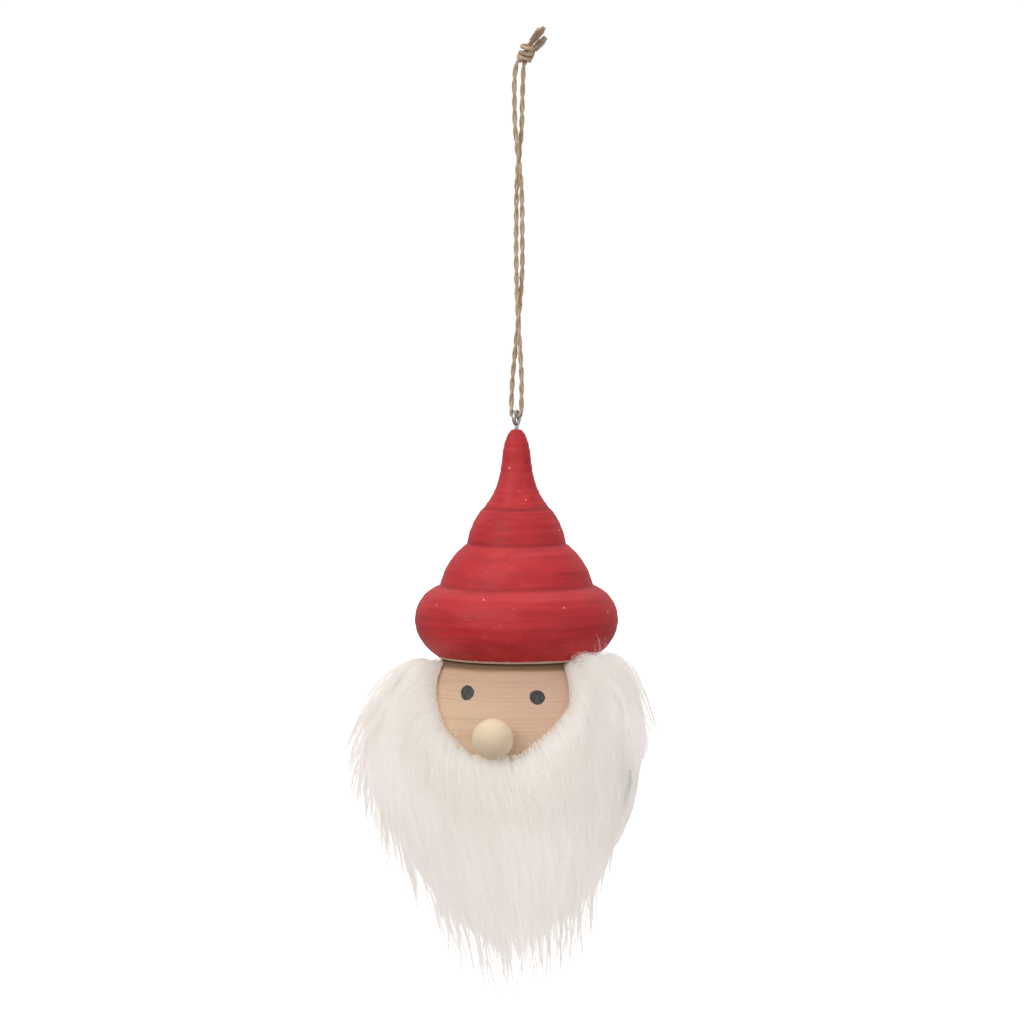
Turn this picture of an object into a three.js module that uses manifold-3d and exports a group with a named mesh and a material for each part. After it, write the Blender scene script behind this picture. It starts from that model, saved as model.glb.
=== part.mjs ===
// A hanging tomte ornament: a turned ball head with a painted turned hat, a ball nose, two painted eyes and a
// beard of long-pile fur, hung by a screw eye on a knotted loop of twine.
// Millimetres, +Z up. The face looks along -Y. The origin is where a hook holds the top of the loop.
import * as THREE from 'three';
import { mergeVertices } from 'three/addons/utils/BufferGeometryUtils.js';
import Module from 'manifold-3d';

const wasm = await Module();
wasm.setup();

// ---- driving dimensions ----
const GAP = 0.3; // clearance kept between pieces that touch
const OVERRUN = 5; // how far a cutting tool runs past what it cuts

const HAT_BASE_Z = -174.4; // underside of the hat
const HAT_H = 67;
const HAT_BASE_R = 23.2;
const BRIM_R = 29.9;

const HEAD_R = 35;
const HEAD_DROP = 31.4; // from the hat's underside to the middle of the head
const HEAD_SHOULDER_R = 22.4; // where the head's side meets its top, under the hat
const HEAD_FLAT_R = 21;
const TURNED_SIDES = 32;

const DOWEL_R = 4;
const DOWEL_DEPTH = 15; // into the hat and into the head
const DOWEL_SIDES = 16;

const NOSE_R = 5.9;
const NOSE_RISE_DEG = 16.3; // seen from the middle of the head
const PEG_R = 1.5;
const PEG_IN_HEAD = 6;
const PEG_IN_NOSE = 4;
const PEG_SIDES = 12;

const DOT_R = 2.15; // the painted eyes
const DOT_T = 0.25;
// degrees round from the middle of the face, and degrees up, seen from the middle of the head
const EYES = { eye_left: [-21.3, 41.6], eye_right: [22.3, 39.6] };

const RING_R = 1.9; // centreline of the screw eye's ring
const WIRE_R = 0.55;
const RING_Z = -104;
const RING_TURN_DEG = -14; // the ring's axis, turned from +X
const THREAD_R = 0.8;
const SHANK_IN_HAT = 9;
const THREAD_TURNS = 6;

const CORD_R = 0.75;
const CORD_SIDES = 8;
const CORD_STEP = 5 * CORD_R; // length of one straight step of the tube
const BIGHT_R = WIRE_R + GAP + CORD_R; // centreline of the cord round the ring's wire
const BIGHT_STEPS = 8;

const BACKING_T = 1.2;
const BEARD_BACK_Y = 1; // how far round the head's sides the beard reaches
// half of the opening for the face, and of the backing's cut edge: X, and height from the hat's underside
const FACE_OPENING = [[19.1, 5], [19.1, -12.6], [6.5, -25.5]];
const BACKING_EDGE = [[40, -1.6], [40, -43], [24, -57], [8, -61]];
// the opening's size through the pile, from the head outwards: Y, and its size against the backing's opening
const OPENING_FLARE = [[0, 1], [-34, 1.05], [-62, 1.5]];

// the pile's outline from its tips up: height from the hat's underside, middle X and Y, half width, half depth
const PILE_SECTIONS = [
  [-93.4, 0, -20, 5, 6],
  [-82.4, 2.5, -19, 15, 16],
  [-72.4, 0.5, -17, 22.5, 24],
  [-61.4, -2.5, -14, 29, 32],
  [-51.4, -4, -12, 36.5, 38.5],
  [-39.4, -3, -10, 42, 43.5],
  [-25.4, -3, -9, 44, 44],
  [-10.4, -2.5, -8, 42, 40],
  [-0.8, -1.5, -9, 37, 32],
];
const PILE_SIDES = 30;
const CHEEK_Z = -28; // height at which a temple's lock meets the cheek's
// each lock of the pile: lowest and highest X, lowest and highest height
const LOCKS = {
  pile_left_temple: [-60, -19.1, CHEEK_Z, 5],
  pile_left_cheek: [-60, -19.1, -110, CHEEK_Z],
  pile_left_jaw: [-19.1, -6.8, -110, 5],
  pile_chin: [-6.8, 6.8, -110, 5],
  pile_right_jaw: [6.8, 19.1, -110, 5],
  pile_right_cheek: [19.1, 60, -110, CHEEK_Z],
  pile_right_temple: [19.1, 60, CHEEK_Z, 5],
};

const KNOT_MIDDLE = [3, 0.1, 2.5];
const KNOT_HALF = [2.3, 2.1, 3.1];

// the cord's two strands from the knot down to the screw eye: they turn once round each other on the way
const STRAND_LEFT = [
  [0.4, 0, 0.1], [-0.4, -0.1, -3], [-0.5, -0.5, -12], [-0.2, -0.8, -20], [0.6, -1, -27], [1.5, -0.5, -36],
  [1.7, 0, -50], [1.5, 0.5, -63], [0.5, 1, -74], [-0.5, 0.8, -84], [-1.3, 0.5, -93], [-1.55, 0.39, -99],
  [-1.55, 0.39, -101.8],
];
const STRAND_RIGHT = [
  [2.1, 0.1, -1], [1.95, 0.1, -4], [1.6, 0.5, -12], [1.3, 0.9, -20], [0.6, 1, -27], [0, 0.5, -36],
  [-0.1, 0, -50], [0.1, -0.6, -63], [0.6, -1, -74], [1.2, -0.8, -84], [1.6, -0.5, -93], [1.55, -0.39, -99],
  [1.55, -0.39, -101.8],
];
const TAIL_LONG = [[4.4, -0.5, 5.6], [5.7, -0.6, 7.1], [7.1, -0.6, 8.6], [8.3, -0.5, 10]];
const TAIL_SHORT = [[5.7, 0.6, 4.2], [6.7, 0.7, 5.1], [7.6, 0.7, 6.1], [8.5, 0.6, 7.1]];

const FINISHES = {
  red_paint: { color: 0xb8262f, roughness: 0.55 },
  head_wood: { color: 0xdcbea5, roughness: 0.7 },
  nose_wood: { color: 0xe6cdaa, roughness: 0.6 },
  hidden_wood: { color: 0xd8c4a0, roughness: 0.7 },
  eye_paint: { color: 0x2f302f, roughness: 0.4 },
  steel: { color: 0xb9b7b4, roughness: 0.3, metalness: 1 },
  backing: { color: 0xe9e4dc, roughness: 0.95 },
  fur: { color: 0xf2eee8, roughness: 0.9 },
  jute: { color: 0xb39a7c, roughness: 0.95 },
};

const radians = THREE.MathUtils.degToRad;

// ---- solids ----
function piece(name, finish, geometry) {
  const mesh = new THREE.Mesh(geometry, new THREE.MeshStandardMaterial(FINISHES[finish]));
  mesh.name = name;
  return mesh;
}

function toSolid(geometry) {
  const bare = geometry.clone();
  bare.deleteAttribute('normal');
  bare.deleteAttribute('uv');
  const merged = mergeVertices(bare, 1e-4);
  return new wasm.Manifold(
    new wasm.Mesh({
      numProp: 3,
      vertProperties: new Float32Array(merged.attributes.position.array),
      triVerts: new Uint32Array(merged.index.array),
    }),
  );
}

function toGeometry(solid) {
  const { vertProperties, triVerts } = solid.getMesh();
  const geometry = new THREE.BufferGeometry();
  geometry.setAttribute('position', new THREE.BufferAttribute(vertProperties, 3));
  geometry.setIndex(new THREE.BufferAttribute(triVerts, 1));
  geometry.computeVertexNormals();
  return geometry;
}

function boxBetween(low, high) {
  const size = high.map((value, i) => value - low[i]);
  const middle = high.map((value, i) => (value + low[i]) / 2);
  return new THREE.BoxGeometry(...size).translate(...middle);
}

// A solid turned about Z from an outline of Vector2(radius, height) that goes up its outer side.
function turned(outline, sides) {
  return new THREE.LatheGeometry(outline, sides).rotateX(Math.PI / 2);
}

// A solid skinned over rings of points that all have the same count, with flat ends.
// Each ring runs anticlockwise, seen from the side of the last ring.
function skinned(rings) {
  const count = rings[0].length;
  const index = [];
  for (let ring = 0; ring + 1 < rings.length; ring += 1) {
    for (let i = 0; i < count; i += 1) {
      const a = ring * count + i;
      const b = ring * count + ((i + 1) % count);
      index.push(a, b, b + count, a, b + count, a + count);
    }
  }
  const last = (rings.length - 1) * count;
  for (let i = 1; i + 1 < count; i += 1) {
    index.push(0, i + 1, i, last, last + i, last + i + 1);
  }
  const geometry = new THREE.BufferGeometry();
  geometry.setAttribute('position', new THREE.Float32BufferAttribute(rings.flat(2), 3));
  geometry.setIndex(index);
  return geometry;
}

// A cylinder on the line from the middle of the head in a direction, between two distances from there.
function rodFromHead(radius, [turnDeg, riseDeg], [from, to], sides) {
  return new THREE.CylinderGeometry(radius, radius, to - from, sides)
    .translate(0, (from + to) / 2, 0)
    .rotateX(Math.PI - radians(riseDeg))
    .rotateZ(radians(turnDeg))
    .translate(0, 0, -HEAD_DROP);
}

// Both sides of an outline given as one side from the top down, running anticlockwise seen from the front.
function bothSides(half) {
  const mirrored = half.map(([x, z]) => [-x, z]);
  return [...mirrored, ...half.toReversed()];
}

// ---- turned wood; heights are from the hat's underside ----
function hatOutline() {
  const outline = new THREE.Path();
  outline.moveTo(HAT_BASE_R, 0);
  outline.bezierCurveTo(27.4, 3, BRIM_R, 7, BRIM_R, 11); // under the brim
  outline.bezierCurveTo(BRIM_R, 15.6, 27.2, 19.6, 22.5, 21.2); // over the brim to the lowest crease
  outline.bezierCurveTo(21.3, 27.2, 17.3, 31.6, 14.55, 33.4); // middle tier
  outline.bezierCurveTo(14.1, 37.2, 12.1, 41.3, 10.1, 43.5); // upper tier
  outline.bezierCurveTo(8.7, 45.4, 7.2, 47, 6.2, 49.6); // flare
  outline.bezierCurveTo(4.6, 53.6, 4.4, 57.1, 3.9, 61.1); // neck
  outline.bezierCurveTo(3.3, 64.2, 2.3, 66.6, THREAD_R + GAP, HAT_H); // rounded tip
  return outline.getPoints(4);
}

function hat() {
  const holeR = DOWEL_R + GAP;
  const holeTop = DOWEL_DEPTH + GAP;
  const pilotBottom = HAT_H - SHANK_IN_HAT - GAP;
  const outline = [
    new THREE.Vector2(0, holeTop),
    new THREE.Vector2(holeR, holeTop),
    new THREE.Vector2(holeR, 0),
    ...hatOutline(),
    new THREE.Vector2(THREAD_R + GAP, pilotBottom),
    new THREE.Vector2(0, pilotBottom),
  ];
  return turned(outline, TURNED_SIDES);
}

// The head's outline from its lowest point up to the edge of its flat top, moved outwards by a distance.
function headOutline(outwards) {
  const outline = new THREE.Path();
  outline.absarc(0, -HEAD_DROP, HEAD_R, -Math.PI / 2, 0, false);
  outline.bezierCurveTo(HEAD_R, -16.5, 27.2, -6.6, HEAD_SHOULDER_R, -1);
  const points = outline.getPoints(6);
  return points.map((point, i) => {
    if (i === 0) return new THREE.Vector2(0, point.y - outwards);
    const next = points[Math.min(i + 1, points.length - 1)];
    const along = next.clone().sub(points[i - 1]).normalize();
    return new THREE.Vector2(point.x + outwards * along.y, point.y - outwards * along.x);
  });
}

function head() {
  const holeR = DOWEL_R + GAP;
  const holeBottom = -DOWEL_DEPTH - GAP;
  const outline = [
    ...headOutline(0),
    new THREE.Vector2(HEAD_FLAT_R, -GAP),
    new THREE.Vector2(holeR, -GAP),
    new THREE.Vector2(holeR, holeBottom),
    new THREE.Vector2(0, holeBottom),
  ];
  const reach = [HEAD_R - PEG_IN_HEAD - GAP, HEAD_R + OVERRUN];
  const pegHole = rodFromHead(PEG_R + GAP, [0, NOSE_RISE_DEG], reach, PEG_SIDES);
  return toGeometry(toSolid(turned(outline, TURNED_SIDES)).subtract(toSolid(pegHole)));
}

// The head grown by a distance, with its top open upwards: what the beard is cut to clear.
function grownHead(outwards) {
  const side = headOutline(outwards);
  const top = new THREE.Vector2(side.at(-1).x, OVERRUN);
  return turned([...side, top, new THREE.Vector2(0, OVERRUN)], TURNED_SIDES);
}

function hatDowel() {
  const bevel = 0.6;
  const outline = [
    new THREE.Vector2(0, -DOWEL_DEPTH),
    new THREE.Vector2(DOWEL_R - bevel, -DOWEL_DEPTH),
    new THREE.Vector2(DOWEL_R, bevel - DOWEL_DEPTH),
    new THREE.Vector2(DOWEL_R, DOWEL_DEPTH - bevel),
    new THREE.Vector2(DOWEL_R - bevel, DOWEL_DEPTH),
    new THREE.Vector2(0, DOWEL_DEPTH),
  ];
  return turned(outline, DOWEL_SIDES);
}

// ---- face ----
const NOSE_DISTANCE = HEAD_R + 2 * GAP + NOSE_R; // from the middle of the head to the middle of the nose

function nose() {
  const rise = radians(NOSE_RISE_DEG);
  const ball = new THREE.SphereGeometry(NOSE_R, 20, 14)
    .translate(0, -NOSE_DISTANCE * Math.cos(rise), NOSE_DISTANCE * Math.sin(rise) - HEAD_DROP);
  const holeEnd = NOSE_DISTANCE - NOSE_R + PEG_IN_NOSE + GAP;
  const hole = rodFromHead(PEG_R + GAP, [0, NOSE_RISE_DEG], [HEAD_R - OVERRUN, holeEnd], PEG_SIDES);
  return toGeometry(toSolid(ball).subtract(toSolid(hole)));
}

function nosePeg() {
  const reach = [HEAD_R - PEG_IN_HEAD, NOSE_DISTANCE - NOSE_R + PEG_IN_NOSE];
  return rodFromHead(PEG_R, [0, NOSE_RISE_DEG], reach, PEG_SIDES);
}

// A round dot that follows the head's surface.
function eye(direction) {
  const skin = toSolid(grownHead(GAP + DOT_T)).subtract(toSolid(grownHead(GAP)));
  const cutter = rodFromHead(DOT_R, direction, [HEAD_R - OVERRUN, HEAD_R + OVERRUN], DOWEL_SIDES);
  return toGeometry(skin.intersect(toSolid(cutter)));
}

// ---- screw eye: heights are from the hat's underside ----
function screwEye() {
  const ringZ = RING_Z - HAT_BASE_Z;
  const ring = new THREE.TorusGeometry(RING_R, WIRE_R, 8, 24)
    .rotateY(Math.PI / 2)
    .rotateZ(radians(RING_TURN_DEG))
    .translate(0, 0, ringZ);
  const threadTop = HAT_H - 1.5;
  const tipBottom = HAT_H - SHANK_IN_HAT;
  const threadBottom = tipBottom + 1.5;
  const pitch = (threadTop - threadBottom) / THREAD_TURNS;
  const outline = [new THREE.Vector2(0, tipBottom), new THREE.Vector2(WIRE_R, threadBottom)];
  for (let turn = 0; turn < THREAD_TURNS; turn += 1) {
    const z = threadBottom + turn * pitch;
    outline.push(new THREE.Vector2(THREAD_R, z + pitch / 2), new THREE.Vector2(WIRE_R, z + pitch));
  }
  const neckTop = ringZ - RING_R;
  outline.push(new THREE.Vector2(WIRE_R, neckTop), new THREE.Vector2(0, neckTop));
  return toGeometry(toSolid(ring).add(toSolid(turned(outline, 12))));
}

// ---- beard; heights are from the hat's underside ----
function plate(outline) {
  const shape = new THREE.Shape(outline.map(([x, z]) => new THREE.Vector2(x, z)));
  return new THREE.ExtrudeGeometry(shape, { depth: 2 * HEAD_R, bevelEnabled: false })
    .rotateX(Math.PI / 2)
    .translate(0, BEARD_BACK_Y, 0);
}

function beardBacking() {
  const skin = toSolid(grownHead(GAP + BACKING_T)).subtract(toSolid(grownHead(GAP)));
  const cut = toSolid(plate(bothSides(BACKING_EDGE))).subtract(toSolid(plate(bothSides(FACE_OPENING))));
  return toGeometry(skin.intersect(cut));
}

// The tool that opens the pile round the face: wider at the front, where the pile falls aside.
function pileOpening() {
  const rings = OPENING_FLARE.map(([y, size]) =>
    bothSides(FACE_OPENING).map(([x, z]) => [x * size, y, z * size ** 0.4]),
  );
  return skinned(rings);
}

function wholePile() {
  const rings = PILE_SECTIONS.map(([z, x, y, halfWidth, halfDepth]) =>
    Array.from({ length: PILE_SIDES }, (_, i) => {
      const angle = (2 * Math.PI * i) / PILE_SIDES;
      return [x + halfWidth * Math.cos(angle), y + halfDepth * Math.sin(angle), z];
    }),
  );
  const front = toSolid(boxBetween([-100, -100, -120], [100, BEARD_BACK_Y, 10]));
  return toSolid(skinned(rings))
    .intersect(front)
    .subtract(toSolid(grownHead(2 * GAP + BACKING_T)))
    .subtract(toSolid(pileOpening()));
}

function locks() {
  const pile = wholePile();
  return Object.entries(LOCKS).map(([name, [lowX, highX, lowZ, highZ]]) => {
    const room = GAP / 2;
    const box = boxBetween([lowX + room, -100, lowZ + room], [highX - room, 100, highZ - room]);
    return piece(name, 'fur', toGeometry(pile.intersect(toSolid(box))));
  });
}

// ---- hanging cord ----
function cordTube(points, step = CORD_STEP) {
  const path = new THREE.CatmullRomCurve3(points.map((point) => new THREE.Vector3(...point)));
  const section = new THREE.Shape().absarc(0, 0, CORD_R, 0, 2 * Math.PI);
  const steps = Math.ceil(path.getLength() / step);
  return new THREE.ExtrudeGeometry(section, { steps, curveSegments: CORD_SIDES / 2, extrudePath: path });
}

// The bight under the top of the ring, square to the wire there.
function bightPoints() {
  const turn = radians(RING_TURN_DEG);
  return Array.from({ length: BIGHT_STEPS + 1 }, (_, i) => {
    const angle = Math.PI * (1 + i / BIGHT_STEPS);
    const across = BIGHT_R * Math.cos(angle);
    const z = RING_Z + RING_R + BIGHT_R * Math.sin(angle);
    return [across * Math.cos(turn), across * Math.sin(turn), z];
  });
}

function knot() {
  return new THREE.SphereGeometry(1, 12, 8).scale(...KNOT_HALF).translate(...KNOT_MIDDLE);
}

// ---- assembly ----
function hangingCord() {
  const group = new THREE.Group();
  group.add(piece('cord_knot', 'jute', knot()));
  group.add(piece('cord_strand_left', 'jute', cordTube(STRAND_LEFT)));
  group.add(piece('cord_strand_right', 'jute', cordTube(STRAND_RIGHT)));
  group.add(piece('cord_bight', 'jute', cordTube(bightPoints(), CORD_R)));
  group.add(piece('cord_tail_long', 'jute', cordTube(TAIL_LONG)));
  group.add(piece('cord_tail_short', 'jute', cordTube(TAIL_SHORT)));
  return group;
}

function beard() {
  const group = new THREE.Group();
  group.add(piece('beard_backing', 'backing', beardBacking()));
  group.add(...locks());
  return group;
}

function ornament() {
  const group = new THREE.Group();
  group.add(piece('screw_eye', 'steel', screwEye()));
  group.add(piece('hat', 'red_paint', hat()));
  group.add(piece('hat_dowel', 'hidden_wood', hatDowel()));
  group.add(piece('head', 'head_wood', head()));
  group.add(piece('nose', 'nose_wood', nose()));
  group.add(piece('nose_peg', 'hidden_wood', nosePeg()));
  for (const [name, direction] of Object.entries(EYES)) {
    group.add(piece(name, 'eye_paint', eye(direction)));
  }
  group.add(beard());
  group.position.z = HAT_BASE_Z;
  return group;
}

const tomte = new THREE.Group();
tomte.add(hangingCord(), ornament());

export default tomte;
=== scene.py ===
"""A hanging gnome ornament: a turned wooden hat and head, a plush beard and a jute hanging loop."""

from __future__ import annotations

import logging
import math
from collections.abc import Mapping, Sequence
from dataclasses import dataclass, field
from enum import Enum
from typing import Any

import bmesh
import bpy
import numpy as np
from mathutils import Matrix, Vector


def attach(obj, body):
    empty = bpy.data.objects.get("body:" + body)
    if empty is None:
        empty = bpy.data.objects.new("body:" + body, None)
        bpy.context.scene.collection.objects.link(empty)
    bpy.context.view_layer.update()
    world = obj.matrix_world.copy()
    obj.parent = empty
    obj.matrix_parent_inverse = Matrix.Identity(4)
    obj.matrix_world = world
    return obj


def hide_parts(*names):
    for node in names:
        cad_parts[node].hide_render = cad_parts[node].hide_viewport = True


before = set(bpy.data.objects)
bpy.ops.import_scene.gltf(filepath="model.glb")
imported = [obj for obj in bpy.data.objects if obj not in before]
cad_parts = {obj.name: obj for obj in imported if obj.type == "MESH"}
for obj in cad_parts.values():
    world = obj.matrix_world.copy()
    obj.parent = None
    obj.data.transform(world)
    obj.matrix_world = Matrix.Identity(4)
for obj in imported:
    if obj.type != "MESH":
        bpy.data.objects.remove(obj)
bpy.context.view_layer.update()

log = logging.getLogger("ornament")

MM = 0.001
HAT_BASE = -174.4  # height of the hat's underside, in mm from the knot
HAT_HEIGHT = 67.0
HEAD_RADIUS = 35.0
HEAD_DROP = 31.4  # from the hat's underside to the middle of the head
HEAD_MIDDLE = HAT_BASE - HEAD_DROP
RING_HEIGHT = -104.0  # of the screw eye's middle
EYE_TURN = math.radians(-14)  # how far round the screw eye is screwed
FULL_TURN = 2 * math.pi
VIEW_TURN = math.radians(10)  # how far round to the gnome's left the camera stands


class Body(Enum):
    """The bodies that pieces ride on."""

    CORD = "hanging_cord"
    ORNAMENT = "ornament"


class Slot(Enum):
    """The material slots of the part."""

    PAINT = "red_paint"
    HEAD = "head_wood"
    NOSE = "nose_wood"
    HIDDEN = "hidden_wood"
    EYES = "eye_paint"
    STEEL = "steel"
    BACKING = "backing"
    FUR = "fur"
    JUTE = "jute"


# ---------------------------------------------------------------- node trees


class Link:
    """An output socket of a node tree."""

    def __init__(self, tree: Tree, socket: Any) -> None:
        """Keeps the tree and the output socket."""
        self.tree = tree
        self.socket = socket


class Value(Link):
    """A number in a node tree, usable in plain arithmetic."""

    def _maths(self, operation: str, first: Any, second: Any = 0.0) -> Value:
        """Adds one Math node that works on two Values or numbers, and returns its result."""
        return self.tree.value("ShaderNodeMath", {"operation": operation}, {0: first, 1: second})

    def __add__(self, other: Any) -> Value:
        """Sum."""
        return self._maths("ADD", self, other)

    def __radd__(self, other: Any) -> Value:
        """Sum, number first."""
        return self._maths("ADD", other, self)

    def __sub__(self, other: Any) -> Value:
        """Difference."""
        return self._maths("SUBTRACT", self, other)

    def __rsub__(self, other: Any) -> Value:
        """Difference, number first."""
        return self._maths("SUBTRACT", other, self)

    def __mul__(self, other: Any) -> Value:
        """Product."""
        return self._maths("MULTIPLY", self, other)

    def __truediv__(self, other: Any) -> Value:
        """Quotient."""
        return self._maths("DIVIDE", self, other)

    def __pow__(self, other: Any) -> Value:
        """Power."""
        return self._maths("POWER", self, other)

    def __gt__(self, other: Any) -> Value:
        """1 where this is the greater, else 0."""
        return self._maths("GREATER_THAN", self, other)

    def __lt__(self, other: Any) -> Value:
        """1 where this is the smaller, else 0."""
        return self._maths("LESS_THAN", self, other)

    def __mod__(self, other: Any) -> Value:
        """Remainder."""
        return self._maths("FLOORED_MODULO", self, other)

    def most(self, other: Any) -> Value:
        """The greater of the two."""
        return self._maths("MAXIMUM", self, other)

    def least(self, other: Any) -> Value:
        """The smaller of the two."""
        return self._maths("MINIMUM", self, other)

    def sine(self) -> Value:
        """Sine."""
        return self._maths("SINE", self)

    def cosine(self) -> Value:
        """Cosine."""
        return self._maths("COSINE", self)

    def floor(self) -> Value:
        """Whole part."""
        return self._maths("FLOOR", self)

    def between(self, low: float, high: float, start: float = 0.0, end: float = 1.0) -> Value:
        """A smooth step from start to end as this goes from low to high.

        Args:
            low: The value where the step begins.
            high: The value where it ends.
            start: The result before the step.
            end: The result after it.

        Returns:
            The stepped value.
        """
        return self.tree.value(
            "ShaderNodeMapRange",
            {"interpolation_type": "SMOOTHSTEP"},
            {"Value": self, "From Min": low, "From Max": high, "To Min": start, "To Max": end},
        )


class Arrow(Link):
    """A vector in a node tree, usable in plain arithmetic."""

    def _maths(self, operation: str, other: Any, key: Any = 1) -> Arrow:
        """Adds one Vector Math node that works on this and on another input, and returns its result."""
        return self.tree.arrow("ShaderNodeVectorMath", {"operation": operation}, {0: self, key: other})

    def __add__(self, other: Any) -> Arrow:
        """Vector sum."""
        return self._maths("ADD", other)

    def __sub__(self, other: Any) -> Arrow:
        """Vector difference."""
        return self._maths("SUBTRACT", other)

    def __mul__(self, other: Any) -> Arrow:
        """The vector scaled by a number."""
        return self._maths("SCALE", other, "Scale")

    def cross(self, other: Arrow) -> Arrow:
        """Cross product."""
        return self._maths("CROSS_PRODUCT", other)

    def length(self) -> Value:
        """The vector's length."""
        return self.tree.value("ShaderNodeVectorMath", {"operation": "LENGTH"}, {0: self}, "Value")

    def toward(self, other: Any, share: Any) -> Arrow:
        """The vector mixed with another one.

        Args:
            other: The vector to go towards.
            share: How far to go, from 0 to 1.

        Returns:
            The mixed vector.
        """
        return self.tree.arrow("ShaderNodeMix", {"data_type": "VECTOR"}, {0: share, 4: self, 5: other}, 1)

    def parts(self) -> tuple[Value, Value, Value]:
        """The vector's X, Y and Z."""
        node = self.tree.node("ShaderNodeSeparateXYZ", {}, {0: self})
        return tuple(Value(self.tree, node.outputs[i]) for i in range(3))


class Tree:
    """A node tree that nodes are added to by type, settings and inputs."""

    def __init__(self, nodes: bpy.types.NodeTree) -> None:
        """Wraps a node tree."""
        self.tree = nodes

    def node(self, kind: str, settings: Mapping[str, Any], inputs: Mapping[Any, Any]) -> bpy.types.Node:
        """Adds a node.

        Args:
            kind: The node's type.
            settings: Its properties, which are set first.
            inputs: Values or links by socket name or number.

        Returns:
            The node.
        """
        made = self.tree.nodes.new(kind)
        for key, setting in settings.items():
            setattr(made, key, setting)
        for key, given in inputs.items():
            self.give(self.socket(made.inputs, key), given)
        return made

    def give(self, socket: bpy.types.NodeSocket, given: Any) -> None:
        """Links an input socket to a Value, Arrow or socket, or sets its value."""
        source = getattr(given, "socket", given)
        if isinstance(source, bpy.types.NodeSocket):
            self.tree.links.new(source, socket)
        else:
            socket.default_value = source

    @staticmethod
    def socket(sockets: Any, key: Any) -> Any:
        """Finds a socket.

        Args:
            sockets: A node's inputs or outputs.
            key: The socket's number, or the name of one that is in use.

        Returns:
            The socket.
        """
        if isinstance(key, int):
            return sockets[key]
        return next(s for s in sockets if s.name == key and s.enabled)

    def out(self, kind: str, settings: Mapping[str, Any], inputs: Mapping[Any, Any], output: Any = 0) -> Any:
        """Adds a node and returns one of its output sockets."""
        return self.socket(self.node(kind, settings, inputs).outputs, output)

    def value(self, kind: str, settings: Mapping[str, Any], inputs: Mapping[Any, Any], output: Any = 0) -> Value:
        """Adds a node and returns one of its outputs as a number."""
        return Value(self, self.out(kind, settings, inputs, output))

    def arrow(self, kind: str, settings: Mapping[str, Any], inputs: Mapping[Any, Any], output: Any = 0) -> Arrow:
        """Adds a node and returns one of its outputs as a vector."""
        return Arrow(self, self.out(kind, settings, inputs, output))

    def vector(self, x: Any, y: Any, z: Any) -> Arrow:
        """A vector from three numbers."""
        return self.arrow("ShaderNodeCombineXYZ", {}, {0: x, 1: y, 2: z})

    def noise(self, vector: Any, scale: float, detail: float = 2.0, roughness: float = 0.5) -> Value:
        """A noise pattern.

        Args:
            vector: Where it is read.
            scale: How many blotches a metre holds.
            detail: How many finer layers it has.
            roughness: How strong those are.

        Returns:
            The noise, about 0.5 on average.
        """
        inputs = {"Vector": vector, "Scale": scale, "Detail": detail, "Roughness": roughness}
        return self.value("ShaderNodeTexNoise", {}, inputs)

    def blend(self, share: Any, first: Any, second: Any, how: str = "MIX") -> Any:
        """Mixes two colours.

        Args:
            share: How much of the second colour shows.
            first: A colour or colour socket.
            second: A colour or colour socket.
            how: The blend type.

        Returns:
            The mixed colour's socket.
        """
        colours = [(*c, 1.0) if isinstance(c, tuple) else c for c in (first, second)]
        settings = {"data_type": "RGBA", "blend_type": how, "clamp_factor": True}
        return self.out("ShaderNodeMix", settings, {0: share, 6: colours[0], 7: colours[1]}, 2)


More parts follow.
